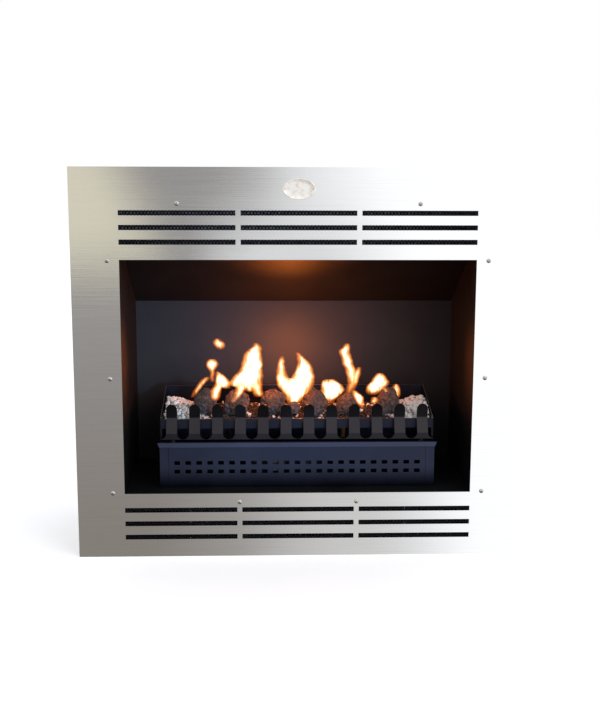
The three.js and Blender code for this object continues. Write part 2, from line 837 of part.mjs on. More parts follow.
// The slotted disc that the spindle turns and slides in.
function valveRotor() {
  return solid(bar('y', rotorRadius, bossFront, bossFront + rotorDepth - seatGap, [valveX, controlZ]))
    .subtract(solid(bar(
      'y', spindleRadius + runningGap, bossFront - 1, bossFront + rotorDepth, [valveX, controlZ], 12,
    )));
}

function valveSpindle() {
  return solid(bar('y', spindleRadius, spindleFront, spindleRear, [valveX, controlZ], 12));
}

function controlKnob() {
  const bevel = 2;
  const profile = [
    [0, knobFront], [knobRadius - bevel, knobFront], [knobRadius, knobFront + bevel],
    [knobRadius, knobRear - knobSkirt], [knobSkirtRadius - 1, knobRear - knobSkirt],
    [knobSkirtRadius, knobRear - knobSkirt + 1], [knobSkirtRadius, knobRear], [0, knobRear],
  ].map(([r, y]) => new THREE.Vector2(r, y));
  const body = new THREE.LatheGeometry(profile, 24);
  body.translate(valveX, 0, controlZ);
  const flutes = Array.from({ length: knobFlutes }, (_, i) => {
    const angle = (i / knobFlutes) * 2 * Math.PI;
    const reach = knobRadius + fluteRadius * 0.55;
    return bar(
      'y', fluteRadius, knobFront - 1, knobRear - knobSkirt,
      [valveX + reach * Math.cos(angle), controlZ + reach * Math.sin(angle)], 8,
    );
  });
  const pointer = block(
    [valveX - pointerWidth / 2, knobFront - pointerRise, controlZ],
    [valveX + pointerWidth / 2, knobFront + pointerRise, controlZ + knobRadius - bevel],
  );
  return solid(body)
    .add(solid(pointer))
    .subtract(solid(mergeGeometries(flutes)))
    .subtract(solid(bar(
      'y', spindleRadius + runningGap, knobRear - spindleSocket, knobRear + 1, [valveX, controlZ], 12,
    )));
}

function igniterBody() {
  const collar = bar('y', collarRadius, bracketFront - collarDepth, bracketFront, [igniterX, controlZ], 12);
  const barrel = bar(
    'y', igniterRadius, bracketFront - collarDepth / 2, bracketFront + igniterLength, [igniterX, controlZ],
  );
  const boreEnd = bracketFront - collarDepth - buttonProud + buttonLength + buttonTravel + 1;
  return solid(collar)
    .add(solid(barrel))
    .subtract(solid(bar(
      'y', buttonRadius + runningGap, bracketFront - collarDepth - 1, boreEnd, [igniterX, controlZ],
    )));
}

function igniterButton() {
  const front = bracketFront - collarDepth - buttonProud;
  const profile = [
    [0, front], [buttonRadius - 1, front], [buttonRadius, front + 1],
    [buttonRadius, front + buttonLength], [0, front + buttonLength],
  ].map(([r, y]) => new THREE.Vector2(r, y));
  const geometry = new THREE.LatheGeometry(profile, 16);
  geometry.translate(igniterX, 0, controlZ);
  return solid(geometry);
}

// ---------------------------------------------------------------- burner and gas lines

function burnerTube() {
  const half = tubeLength / 2;
  const inside = tubeRadius - tubeWall;
  const ports = Array.from({ length: portCount }, (_, i) => {
    const x = (i - (portCount - 1) / 2) * (tubeLength / portCount);
    return block(
      [x - portLength / 2, burnerY - portWidth / 2, tubeZ],
      [x + portLength / 2, burnerY + portWidth / 2, tubeZ + 2 * tubeRadius],
    );
  });
  const inletRadius = venturiRadius - venturiWall;
  const inlet = bar('z', inletRadius, tubeZ - 2 * tubeRadius, tubeZ, [venturiX, burnerY], 12);
  return solid(bar('x', tubeRadius, -half, half, [burnerY, tubeZ], 12))
    .subtract(solid(bar('x', inside, -half + tubeWall, half - tubeWall, [burnerY, tubeZ], 12)))
    .subtract(solid(mergeGeometries(ports)))
    .subtract(solid(inlet));
}

// The bell-mouthed mixing tube that carries gas and air up into the burner tube.
function burnerVenturi() {
  const bottom = venturiTop - venturiDrop;
  const inside = venturiRadius - venturiWall;
  const profile = [
    [venturiFlare - venturiWall, bottom], [venturiFlare, bottom],
    [venturiRadius, bottom + venturiFlareHeight], [venturiRadius, venturiTop],
    [inside, venturiTop], [inside, bottom + venturiFlareHeight],
    [venturiFlare - venturiWall, bottom],
  ].map(([r, z]) => new THREE.Vector2(r, z));
  const geometry = new THREE.LatheGeometry(profile, 16);
  geometry.rotateX(Math.PI / 2);
  geometry.translate(venturiX, burnerY, 0);
  return solid(geometry);
}

function feedPipe() {
  const start = valveX + valveWidth / 2 + seatGap;
  const end = venturiTop - venturiDrop - seatGap;
  const route = [[start, burnerY, feedZ], [venturiX, burnerY, feedZ], [venturiX, burnerY, end]];
  return solid(pipe(route, feedRadius, bendRadius / 2, 8, 14));
}

function supplyPipe() {
  const end = casingHalf - fittingInside / 2;
  return solid(pipe([
    [valveX, supplyY, valveBottom - seatGap], [valveX, supplyY, supplyHeight], [end, supplyY, supplyHeight],
  ], supplyRadius, supplyBend, 12, 18));
}

function hexagon(acrossCorners, [a, b]) {
  return polygon(Array.from({ length: 6 }, (_, i) => {
    const angle = (i / 6) * 2 * Math.PI;
    return [a + acrossCorners * Math.cos(angle), b + acrossCorners * Math.sin(angle)];
  }));
}

function inletFitting() {
  const place = [supplyY, supplyHeight];
  const inner = casingHalf - fittingInside;
  const outer = casingHalf + fittingHexDepth + fittingTail;
  return solid(extrude('x', hexagon(fittingHex, place), casingHalf, casingHalf + fittingHexDepth))
    .add(solid(bar('x', fittingRadius, inner, outer, place)))
    .subtract(solid(bar('x', supplyRadius + runningGap, inner - 1, outer + 1, place, 12)));
}

function inletLocknut() {
  const place = [supplyY, supplyHeight];
  const outer = casingHalf - casingSheet;
  return solid(extrude('x', hexagon(locknutHex, place), outer - locknutDepth, outer))
    .subtract(solid(bar('x', fittingRadius + runningGap, outer - locknutDepth - 1, outer + 1, place)));
}

// ---------------------------------------------------------------- pilot

function pilotBurner() {
  const top = trayFloor + pilotSheet;
  const strap = block(
    [pilotX - pilotStrapWidth / 2, pilotY - pilotStrapDepth / 2, trayFloor],
    [pilotX + pilotStrapWidth / 2, pilotY + pilotStrapDepth / 2, top],
  );
  const nozzle = bar('z', pilotRadius, trayFloor, top + pilotHeight, [pilotX, pilotY], 12);
  const mouth = block(
    [pilotX - pilotRadius / 2, pilotY - 2 * pilotRadius, top + pilotHeight * 0.7],
    [pilotX + pilotRadius / 2, pilotY, top + pilotHeight + 1],
  );
  const holes = [[probeRadius, 1], [sleeveRadius, -1]].map(([radius, side]) => bar(
    'z', radius + runningGap, trayFloor - 1, top + 1, [pilotX + side * pilotSpacing, pilotY], 10,
  ));
  return solid(strap)
    .add(solid(nozzle))
    .subtract(solid(mouth))
    .subtract(solid(mergeGeometries(holes)));
}

function pilotPipe() {
  const z = controlZ - valveHeight / 4;
  return solid(pipe([
    [valveX - valveWidth / 2 - seatGap, burnerY, z], [pilotX, burnerY, z], [pilotX, pilotY, z],
    [pilotX, pilotY, trayFloor - seatGap],
  ], pilotPipeRadius, bendRadius, 8, 20));
}

function thermocouple() {
  const x = pilotX + pilotSpacing;
  const z = controlZ + valveHeight / 4;
  return solid(pipe([
    [valveX, valveRear + seatGap, z], [valveX, pilotY, z], [x, pilotY, z],
    [x, pilotY, trayFloor + pilotSheet + pilotHeight],
  ], probeRadius, bendRadius / 2, 6, 22));
}

// The spark electrode: a rod in a porcelain sleeve that is clamped in the pilot's strap.
function sparkElectrode() {
  const top = trayFloor + pilotSheet;
  const sleeveBottom = trayUnderside - sleeveDrop;
  const profile = [
    [0, sleeveBottom - electrodeTip], [electrodeRadius, sleeveBottom - electrodeTip],
    [electrodeRadius, sleeveBottom], [sleeveRadius, sleeveBottom],
    [sleeveRadius, top + sleeveRise], [electrodeRadius, top + sleeveRise],
    [electrodeRadius, top + pilotHeight], [0, top + pilotHeight],
  ].map(([r, z]) => new THREE.Vector2(r, z));
  const geometry = new THREE.LatheGeometry(profile, 10);
  geometry.rotateX(Math.PI / 2);
  geometry.translate(pilotX - pilotSpacing, pilotY, 0);
  return solid(geometry);
}

// ---------------------------------------------------------------- granules and coals

// A rough ceramic lump: an egg whose surface swells and dips by a few waves, different for each copy.
function coal({ x, setback, rise, radius, halfHeight }, extra = 0) {
  const geometry = new THREE.IcosahedronGeometry(1, 2);
  const points = geometry.attributes.position;
  const point = new THREE.Vector3();
  for (let i = 0; i < points.count; i += 1) {
    point.fromBufferAttribute(points, i).normalize();
    const wave = Math.sin(3.1 * point.x + x) + Math.sin(3.7 * point.y + 2 * x) + Math.sin(4.3 * point.z - x);
    const swell = 1 + (coalRoughness * wave) / 2;
    const across = radius * swell + extra;
    points.setXYZ(i, point.x * across, point.y * across, point.z * (halfHeight * swell + extra));
  }
  geometry.translate(x, trayFront + setback, trayFloor + rise);
  return geometry;
}

// The bed of loose granules: a layer that rises to its middle and is heaped at both ends, with hollows where
// the coals sit and a channel underneath for the burner tube, left open behind the pilot.
function vermiculiteBed() {
  const half = trayHalf - traySheet - seatGap;
  const front = trayFront + traySheet + seatGap;
  const rear = trayRear - traySheet - seatGap;
  const geometry = new THREE.BoxGeometry(2 * half, rear - front, 1, 20, 6, 1);
  const points = geometry.attributes.position;
  for (let i = 0; i < points.count; i += 1) {
    const x = points.getX(i);
    const y = points.getY(i) + (front + rear) / 2;
    const across = Math.max(Math.sin((Math.PI * (y - front)) / (rear - front)), 0);
    const fromEnd = Math.min((half - Math.abs(x)) / bedEndReach, 1);
    const mound = (bedEndMound * (1 + Math.cos(Math.PI * fromEnd))) / 2;
    const ripple = bedRipple * (Math.sin(0.09 * x + 0.05 * y) + Math.sin(0.047 * x - 0.11 * y));
    const rise = bedCrown * Math.pow(across, 1.6) + mound * Math.sqrt(across);
    const top = trayFloor + bedEdge + rise + ripple;
    points.setXYZ(i, x, y, points.getZ(i) > 0 ? top : trayFloor);
  }
  const reach = tubeRadius + seatGap;
  const length = tubeLength / 2 + seatGap;
  const channel = block([-length, burnerY - reach, trayFloor - 1], [length, burnerY + reach, tubeZ]);
  const pilotSpace = block(
    [pilotX - pilotStrapWidth / 2 - seatGap, pilotY - pilotStrapDepth / 2 - seatGap, trayFloor - 1],
    [pilotX + pilotStrapWidth / 2 + seatGap, rear + 1, trayFloor + bedEdge + 2 * (bedCrown + bedEndMound)],
  );
  let bed = solid(geometry)
    .subtract(solid(channel))
    .subtract(solid(bar('x', reach, -length, length, [burnerY, tubeZ], 12)))
    .subtract(solid(pilotSpace));
  for (const lump of coals) {
    bed = bed.subtract(solid(coal(lump, seatGap)));
  }
  return bed;
}

// ---------------------------------------------------------------- assembly

add('front_plate', frontPlate(), brushedSteel);
plateScrews();
add('name_plate', namePlate(), nameMetal);
add('upper_vent_mesh', ventMesh(1), meshPaint);
add('lower_vent_mesh', ventMesh(-1), meshPaint);

add('casing_base', casingBase(), galvanised);
add('casing_top', casingTop(), galvanised);
add('casing_back', casingBack(), galvanised);
add('casing_side_left', casingSide(-1), galvanised);
add('casing_side_right', casingSide(1), galvanised);

add('firebox_floor', fireboxFloor(), fireboxPaint);
add('firebox_back', fireboxBack(), fireboxPaint);
add('firebox_ceiling', fireboxCeiling(), fireboxPaint);
add('firebox_side_left', fireboxSide(-1), fireboxPaint);
add('firebox_side_right', fireboxSide(1), fireboxPaint);
add('floor_bearer_left', floorBearer(-1), galvanised);
add('floor_bearer_right', floorBearer(1), galvanised);
add('rear_stay', rearStay(), galvanised);

add('burner_box', burnerBox(), gratePaint);
add('front_rail', frontRail(), gratePaint);
add('burner_cover', burnerCover(), gratePaint);
add('fire_tray', fireTray(), gratePaint);
add('grate_back', grateBack(), gratePaint);
add('grate_side_left', grateSide(-1), gratePaint);
add('grate_side_right', grateSide(1), gratePaint);
add('castellated_fret', castellatedFret(), fretPaint);

add('control_bracket', controlBracket(), galvanised);
add('gas_valve', gasValve(), castMetal);
add('valve_rotor', valveRotor(), brass);
add('valve_spindle', valveSpindle(), brass);
add('control_knob', controlKnob(), blackPlastic);
add('igniter_body', igniterBody(), blackPlastic);
add('igniter_button', igniterButton(), blackPlastic);

add('burner_tube', burnerTube(), stainlessTube);
add('burner_venturi', burnerVenturi(), brass);
add('feed_pipe', feedPipe(), copper);
add('supply_pipe', supplyPipe(), copper);
add('inlet_fitting', inletFitting(), brass);
add('inlet_locknut', inletLocknut(), brass);
add('pilot_burner', pilotBurner(), stainlessTube);
add('pilot_pipe', pilotPipe(), copper);
add('thermocouple', thermocouple(), copper);
add('spark_electrode', sparkElectrode(), porcelain);

add('vermiculite_bed', vermiculiteBed(), granules);
for (const lump of coals) {
  add(lump.name, solid(coal(lump)), ceramic);
}

insert.position.y = (screwHeadRise - casingRear) / 2;

export default insert;
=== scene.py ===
"""Dresses a gas fireplace insert: finishes, fixings, vent mesh, fret, coals, granules and flames."""

import math

import bmesh
import bpy
from bpy.props import FloatProperty, FloatVectorProperty, IntProperty, PointerProperty
from mathutils import Matrix, Vector, noise


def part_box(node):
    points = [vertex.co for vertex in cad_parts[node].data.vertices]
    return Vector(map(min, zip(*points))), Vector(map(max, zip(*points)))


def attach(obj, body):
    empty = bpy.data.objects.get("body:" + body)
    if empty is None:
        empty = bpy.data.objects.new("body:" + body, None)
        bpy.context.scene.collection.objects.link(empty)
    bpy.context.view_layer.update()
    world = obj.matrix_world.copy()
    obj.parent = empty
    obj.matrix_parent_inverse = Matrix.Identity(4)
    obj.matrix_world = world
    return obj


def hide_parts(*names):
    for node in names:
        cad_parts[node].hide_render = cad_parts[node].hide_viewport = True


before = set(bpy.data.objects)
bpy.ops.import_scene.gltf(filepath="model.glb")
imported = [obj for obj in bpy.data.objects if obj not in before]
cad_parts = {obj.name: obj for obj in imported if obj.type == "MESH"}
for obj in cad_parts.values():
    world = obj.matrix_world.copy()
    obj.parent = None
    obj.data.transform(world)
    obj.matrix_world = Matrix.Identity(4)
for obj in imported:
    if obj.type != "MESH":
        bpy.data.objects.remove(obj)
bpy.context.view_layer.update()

bl_info = {
    "name": "Fireplace Insert",
    "version": (1, 0, 0),
    "blender": (4, 5, 0),
    "location": "View3D > Sidebar > Fireplace",
    "description": "Dresses a gas fireplace insert: plate, firebox, grate, coals, granules and flames",
    "category": "Object",
}

MM = 0.001
PLATE_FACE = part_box("front_plate")[0].y
TRAY_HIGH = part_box("fire_tray")[1]


# ------------------------------------------------------------------ sizes and colours


def length(name, description, default):
    """A size in metres, shown with its unit."""
    return FloatProperty(name=name, description=description, default=default, unit="LENGTH", precision=4)


def colour(name, description, default):
    """A linear colour, shown as a swatch."""
    return FloatVectorProperty(
        name=name, description=description, default=default, subtype="COLOR", size=3, min=0, max=1
    )


def light(name, description, default):
    """The colour and strength of a light, which may be brighter than white."""
    return FloatVectorProperty(
        name=name, description=description, default=default, subtype="COLOR", size=3, min=0
    )


def share(name, description, default):
    """A number between 0 and 1."""
    return FloatProperty(name=name, description=description, default=default, min=0, max=1, subtype="FACTOR")


def tilt(name, description, degrees):
    """An angle, given in degrees."""
    return FloatProperty(name=name, description=description, default=math.radians(degrees), subtype="ANGLE")


def watts(name, description, default):
    """The power of a lamp."""
    return FloatProperty(name=name, description=description, default=default, unit="POWER")


class StageSettings(bpy.types.PropertyGroup):
    """The camera, the floor and the room's light."""

    eye: FloatVectorProperty(
        name="Eye", description="Where the camera stands", default=(-0.0664, -2.1346, 0.7197),
        subtype="TRANSLATION", unit="LENGTH",
    )
    lens: FloatProperty(name="Lens", description="Focal length in millimetres", default=56.5)
    pitch: tilt("Pitch", "How far the camera looks down", 10.113)
    yaw: tilt("Yaw", "How far the camera turns right", 1.988)
    roll: tilt("Roll", "How far the camera leans", -0.192)
    floor_colour: colour("Floor", "Colour of the pale floor", (0.92, 0.92, 0.92))
    floor_glow: share("Floor glow", "How far the floor is lifted towards the background's white", 0.25)
    window_light: light("Window", "Light of the window that the steel shows on the right", (1.6, 1.63, 1.67))
    shade_light: light("Shade", "Light of the dim side of the room", (0.45, 0.435, 0.43))
    low_shade_light: light("Low shade", "Light of the dim side near the floor", (0.36, 0.325, 0.295))
    hearth_light: light("Hearth", "Light of the floor just before the fireplace", (0.05, 0.045, 0.045))
    ceiling_light: light("Ceiling", "Light of the pale ceiling of the room", (1.75, 1.7, 1.6))
    wall_light: light("Wall", "Light of the pale wall at the far left", (1.02, 0.965, 0.775))
    high_light: light("High light", "Light from above and from the right", (1.15, 1.17, 1.25))
    low_light: light("Low light", "Light from below and from the left", (0.16, 0.155, 0.15))
    key_power: watts("Key", "Power of the soft key light", 20)
    daylight: light("Daylight", "Colour of the daylight that reaches into the firebox", (0.42, 0.68, 1.0))
    daylight_power: watts("Daylight power", "Power of the daylight that reaches into the firebox", 105)


class PlateSettings(bpy.types.PropertyGroup):
    """The brushed front plate, its fixings and its name plate."""

    steel: colour("Steel", "Colour of the brushed stainless steel", (0.645, 0.645, 0.64))
    grain_length: length("Grain length", "Length of a brushed line", 0.12)
    grain_width: length("Grain width", "Width of a brushed line", 0.0009)
    head_radius: length("Screw head", "Radius of a pan head", 0.004)
    head_rise: length("Head rise", "Height of a pan head", 0.0026)
    recess: length("Recess", "Depth of the cross recess", 0.0013)
    shank_radius: length("Shank", "Radius of a screw's shank", 0.002)
    name_metal: colour("Name plate", "Colour of the bare name plate", (0.87, 0.84, 0.78))
    rivet_inset: length("Rivet inset", "Distance of a rivet from the end of the name plate", 0.004)
    rivet_radius: length("Rivet", "Radius of a name plate rivet", 0.0012)


class MeshSettings(bpy.types.PropertyGroup):
    """The perforated sheets behind the louvre slots."""

    hole: length("Hole", "Diameter of a round hole", 0.0043)
    pitch: length("Pitch", "Distance between neighbouring holes", 0.006)
    margin: length("Margin", "Plain edge of the sheet", 0.004)
    paint: colour("Paint", "Colour of the mesh", (0.009, 0.0095, 0.0135))


class CasingSettings(bpy.types.PropertyGroup):
    """The galvanised casing and its rivets."""

    zinc: colour("Zinc", "Colour of the galvanised steel", (0.5, 0.51, 0.52))
    spangle: length("Spangle", "Size of a zinc crystal", 0.011)
    rivet_radius: length("Rivet", "Radius of a pop rivet's head", 0.0032)
    rivet_rise: length("Rivet rise", "Height of a pop rivet's head", 0.0009)
    rivet_step: length("Rivet step", "Distance between rivets", 0.1)
    rivet_inset: length("Rivet inset", "Distance of a rivet row from the edge", 0.009)


class GrateSettings(bpy.types.PropertyGroup):
    """The painted firebox and grate, and the castellated fret."""

    firebox_paint: colour("Firebox paint", "Colour of the firebox", (0.031, 0.0325, 0.039))
    # Painted reflection: the cool tint of the sheen stands in for bluish daylight on the paint.
    firebox_gloss: colour("Firebox gloss", "Tint of the firebox paint's sheen", (0.85, 0.9, 1.0))
    # Painted shade: a darker copy of the firebox paint for the ceiling and sides, standing in for the shade
    # they lie in.
    shaded_paint: colour("Shaded paint", "Colour of the sooted ceiling and sides", (0.012, 0.01, 0.0095))
    # Painted reflection: the blue in the grate's and tray's paint colours stands in for cool daylight on
    # their satin sheen.
    grate_paint: colour("Grate paint", "Colour of the grate", (0.0265, 0.0315, 0.056))
    # A darker copy of the grate paint for the tray and upstand.
    tray_paint_and_sheen: colour("Tray paint", "Colour of the tray and upstand, darker than the grate's", (0.016, 0.017, 0.026))
    # Painted highlight: a pale colour on the upward tops of tray and upstand, standing in for the light their
    # edges catch.
    edge_highlight: colour("Edge highlight", "Colour of the light-painted top edges of tray and upstand", (0.6, 0.55, 0.5))
    highlight_start: length("Highlight start", "Height above which upward faces begin to be light-painted", 0.235)
    highlight_full: length("Highlight full", "Height above which upward faces are fully light-painted", 0.238)
    fret_paint: colour("Fret paint", "Colour of the fret", (0.0225, 0.0208, 0.0245))
    # Painted shade: between these heights the firebox paint darkens towards the floor, where the grate shades
    # it.
    shade_top: length("Shade top", "Height below which the firebox is sooted", 0.36)
    shade_end: length("Shade end", "Height below which the firebox is darkest", 0.13)
    # Painted shade: between these heights the grate's paint darkens towards the foot, where the plate's
    # bottom rail shades it.
    foot_shade_top: length("Foot shade top", "Height below which the grate's paint is shadowed dark", 0.165)
    foot_shade_end: length("Foot shade end", "Height below which the grate's paint is darkest", 0.115)
    tabs: IntProperty(name="Tabs", description="How many tabs the fret has", default=12, min=1)
    tab_width: length("Tab width", "Width of one tab", 0.02)
    gauge: length("Gauge", "Thickness of the fret's sheet", 0.002)
    bend: length("Bend", "Radius inside a bend of the fret", 0.0022)
    pad_height: length("Pad height", "How far the fret's feet lift it", 0.003)
    pad_radius: length("Pad radius", "Radius of the fret's feet", 0.006)
    pad_inset: length("Pad inset", "Distance of a foot from the fret's end", 0.0232)
    flange: length("Flange", "Depth of the fret's foot flange", 0.015)
    band: length("Band", "Height of the fret's upright band", 0.013)
    lean: length("Lean", "How far the fret leans back", 0.013)
    lean_height: length("Lean height", "Height of the leaning part", 0.027)
    tip_return: length("Tip return", "How far the tips come forward", 0.007)
    gap_floor: length("Gap floor", "Height of a gap's lowest point over the fret's base", 0.0023)


class FuelSettings(bpy.types.PropertyGroup):
    """The granules and the ceramic coals."""

    granule: length("Granule", "Size of a granule", 0.0076)
    spacing: length("Spacing", "Least distance between granules", 0.0054)
    granule_colour: colour("Granules", "Colour of the clean granules at both ends", (0.78, 0.745, 0.71))
    burnt_colour: colour("Burnt granules", "Colour of the granules under the fire", (0.05, 0.036, 0.03))
    edge: length("Edge", "Height of the bed at its edges", 0.016)
    crown: length("Crown", "How far the middle of the bed rises over its edges", 0.015)
    end_mound: length("End mound", "How far the granules are heaped at both ends", 0.014)
    end_reach: length("End reach", "How far the heaps at both ends reach in", 0.075)
    coal_colour: colour("Coal", "Colour of the ceramic coals", (0.11, 0.073, 0.06))
    # Painted daylight with ash: the coals' low sides turn bluish grey, as if lit by daylight.
    ash_and_daylight_colour: colour("Ash and daylight", "Colour of the light-painted lower sides", (0.1, 0.115, 0.15))
    seed: IntProperty(name="Seed", description="Changes the scatter of the granules", default=7)


class FlameSettings(bpy.types.PropertyGroup):
    """The flames and the light that they give."""

    core: colour("Core", "Colour of the hottest part", (1.0, 0.85, 0.6))
    body: colour("Body", "Colour of the flame's body", (1.0, 0.43, 0.09))
    edge: colour("Edge", "Colour of the flame's edge", (1.0, 0.2, 0.018))
    brightness: FloatProperty(name="Brightness", description="How strongly the gas shines", default=2.7)
    opacity: share("Opacity", "How much the hottest gas hides", 0.5)
    glow: colour("Glow", "Colour of the light that the fire gives", (1.0, 0.225, 0.03))
    glow_power: watts("Glow power", "Power of the fire's light", 3.8)
    thickness: share("Thickness", "Depth of a flame as a share of its width", 0.45)
    soft_edge: length("Soft edge", "Distance from a flame's edge to its hottest gas", 0.013)
    skirt: length("Skirt", "How far the faint gas reaches past the bright part", 0.0036)


# ------------------------------------------------------------------ node trees


FLOAT = "NodeSocketFloat"
VECTOR = "NodeSocketVector"
GEOMETRY = "NodeSocketGeometry"
INTEGER = "NodeSocketInt"
MATERIAL = "NodeSocketMaterial"
OBJECT = "NodeSocketObject"

EFFECT = [("Roughness", FLOAT), ("Shade", FLOAT), ("Normal", VECTOR)]
GROWN = [("Geometry", GEOMETRY)]


def feed(tree, target, sockets):
    """Sets or links a node's inputs by their names or places."""
    for key, value in sockets.items():
        if isinstance(value, bpy.types.NodeSocket):
            tree.links.new(value, target[key])
        else:
            target[key].default_value = value


def node(tree, kind, sockets=None, **settings):
    """Adds a node to a tree, with its settings, and its sockets set or linked."""
    made = tree.nodes.new(kind)
    for key, value in settings.items():
        setattr(made, key, value)
    feed(tree, made.inputs, sockets or {})
    return made


def new_group(name, kind, inputs, outputs):
    """A node group with named sockets, and its input and output nodes."""
    group = bpy.data.node_groups.new(name, kind)
    for label, socket_type, value in inputs:
        socket = group.interface.new_socket(name=label, in_out="INPUT", socket_type=socket_type)
        if value is not None:
            socket.default_value = value
    for label, socket_type in outputs:
        group.interface.new_socket(name=label, in_out="OUTPUT", socket_type=socket_type)
    return group, group.nodes.new("NodeGroupInput").outputs, group.nodes.new("NodeGroupOutput").inputs


def shared_group(name, kind, inputs, outputs):
    """Turns a builder into one that makes its node group once and then hands out the same one."""

    def wrap(build):
        def once():
            if name not in bpy.data.node_groups:
                build(*new_group(name, kind, inputs, outputs))
            return bpy.data.node_groups[name]

        once.__doc__ = build.__doc__
        return once

    return wrap


def maths(tree, operation, *values):
    """A number worked out from numbers and sockets."""
    return node(tree, "ShaderNodeMath", dict(enumerate(values)), operation=operation).outputs[0]


def remap(tree, value, low, high, start=0.0, end=1.0):
    """A value between a start and an end brought to another range."""
    return node(tree, "ShaderNodeMapRange", {
        "Value": value, "From Min": start, "From Max": end, "To Min": low, "To Max": high,
    }).outputs[0]


def smooth_step(tree, value, start, end, lowest=0.0):
    """A mask that rises smoothly from its lowest at the start to 1 at the end."""
    return node(tree, "ShaderNodeMapRange", {
        "Value": value, "From Min": start, "From Max": end, "To Min": lowest,
    }, interpolation_type="SMOOTHSTEP").outputs[0]


def object_place(tree):
    """Where a point of the surface is, in the object's own coordinates."""
    return node(tree, "ShaderNodeTexCoord").outputs["Object"]


def scaled_place(tree, scale):
    """Object coordinates, each axis multiplied."""
    return node(tree, "ShaderNodeMapping", {"Vector": object_place(tree), "Scale": scale}).outputs[0]


def axis(tree, vector, letter):
    """One number of a vector."""
    return node(tree, "ShaderNodeSeparateXYZ", {"Vector": vector}).outputs[letter]


def cloudy(tree, place, scale, detail, **more):
    """A noise texture's value, between 0 and 1."""
    sockets = {"Vector": place, "Scale": scale, "Detail": detail, **more}
    return node(tree, "ShaderNodeTexNoise", sockets).outputs["Fac"]


def bumped(tree, height, strength, distance):
    """The normal of a surface roughened by a height."""
    sockets = {"Height": height, "Strength": strength, "Distance": distance}
    return node(tree, "ShaderNodeBump", sockets).outputs[0]


def set_stops(ramp, stops):
    """Gives a colour ramp its stops, from (position, colour) pairs that begin with its two ends."""
    elements = ramp.color_ramp.elements
    for element, (position, value) in zip(elements, stops):
        element.color = (*value, 1.0)
        element.position = position
    for position, value in stops[2:]:
        elements.new(position).color = (*value, 1.0)


@shared_group("brushed grain", "ShaderNodeTree", [
    ("Length", FLOAT, 0.1), ("Width", FLOAT, 0.001), ("Smoothest", FLOAT, 0.25), ("Roughest", FLOAT, 0.4),
], EFFECT)
def brushed_grain(group, given, out):
    """Shader group: long fine lines along X, as a roughness, a shade and a normal."""
    along_x, across = [maths(group, "DIVIDE", 1.0, given[label]) for label in ("Length", "Width")]
    scale = node(group, "ShaderNodeCombineXYZ", {"X": along_x, "Y": across, "Z": across}).outputs[0]
    place = object_place(group)
    stretched = node(group, "ShaderNodeVectorMath", {0: place, 1: scale}, operation="MULTIPLY").outputs[0]
    lines = cloudy(group, stretched, 1.0, 3.0)
    blotch = cloudy(group, place, 9.0, 2.0)
    both = node(group, "ShaderNodeMix", {"Factor": 0.3, "A": lines, "B": blotch}).outputs[0]
    feed(group, out, {
        "Roughness": remap(group, both, given["Smoothest"], given["Roughest"], 0.3, 0.7),
        "Shade": remap(group, lines, 0.9, 1.06),
        "Normal": bumped(group, lines, 0.12, 0.0002),
    })


@shared_group("sprayed coat", "ShaderNodeTree", [
    ("Peel", FLOAT, 900.0), ("Smoothest", FLOAT, 0.4), ("Roughest", FLOAT, 0.6), ("Depth", FLOAT, 0.3),
], EFFECT)
def coat(group, given, out):
    """Shader group: sprayed paint with a fine orange peel and faint mottling."""
    place = object_place(group)
    peel = cloudy(group, place, given["Peel"], 2.0)
    mottle = cloudy(group, place, 14.0, 5.0)
    feed(group, out, {
        "Roughness": remap(group, mottle, given["Smoothest"], given["Roughest"], 0.3, 0.7),
        "Shade": remap(group, mottle, 0.7, 1.3),
        "Normal": bumped(group, peel, given["Depth"], 0.0003),
    })


@shared_group("zinc spangle", "ShaderNodeTree", [("Crystal", FLOAT, 0.01)], EFFECT)
def spangle(group, given, out):
    """Shader group: the crystal pattern of galvanised steel."""
    place = object_place(group)
    warp = node(group, "ShaderNodeTexNoise", {"Vector": place, "Scale": 60.0, "Detail": 2.0}).outputs["Color"]
    bent = node(group, "ShaderNodeVectorMath", {0: warp, "Scale": 0.006}, operation="SCALE").outputs[0]
    moved = node(group, "ShaderNodeVectorMath", {0: place, 1: bent}, operation="ADD").outputs[0]
    scale = maths(group, "DIVIDE", 1.0, given["Crystal"])
    cells = node(group, "ShaderNodeTexVoronoi", {"Vector": moved, "Scale": scale})
    tone = node(group, "ShaderNodeSeparateColor", {"Color": cells.outputs["Color"]}).outputs[0]
    feed(group, out, {
        "Roughness": remap(group, tone, 0.36, 0.6),
        "Shade": remap(group, tone, 0.78, 1.12),
        "Normal": bumped(group, tone, 0.08, 0.0005),
    })


# ------------------------------------------------------------------ materials


def principled(name, sockets):
    """A new material, its tree and its Principled shader's inputs, with these set."""
    material = bpy.data.materials.new(name)
    material.use_nodes = True
    inputs = material.node_tree.nodes["Principled BSDF"].inputs
    feed(material.node_tree, inputs, sockets)
    return material, material.node_tree, inputs


def blended(tree, first, second, factor, blend_type="MIX"):
    """Two colours, plain or from sockets, mixed by a mask."""
    mix = node(tree, "ShaderNodeMix", {"Factor": factor}, data_type="RGBA", blend_type=blend_type)
    for label, value in (("A", first), ("B", second)):
        feed(tree, mix.inputs, {label: value if isinstance(value, bpy.types.NodeSocket) else (*value, 1.0)})
    return mix.outputs["Result"]


def tinted(tree, base, factor):
    """A colour multiplied by a number that changes over the surface."""
    return blended(tree, base, factor, 1.0, "MULTIPLY")


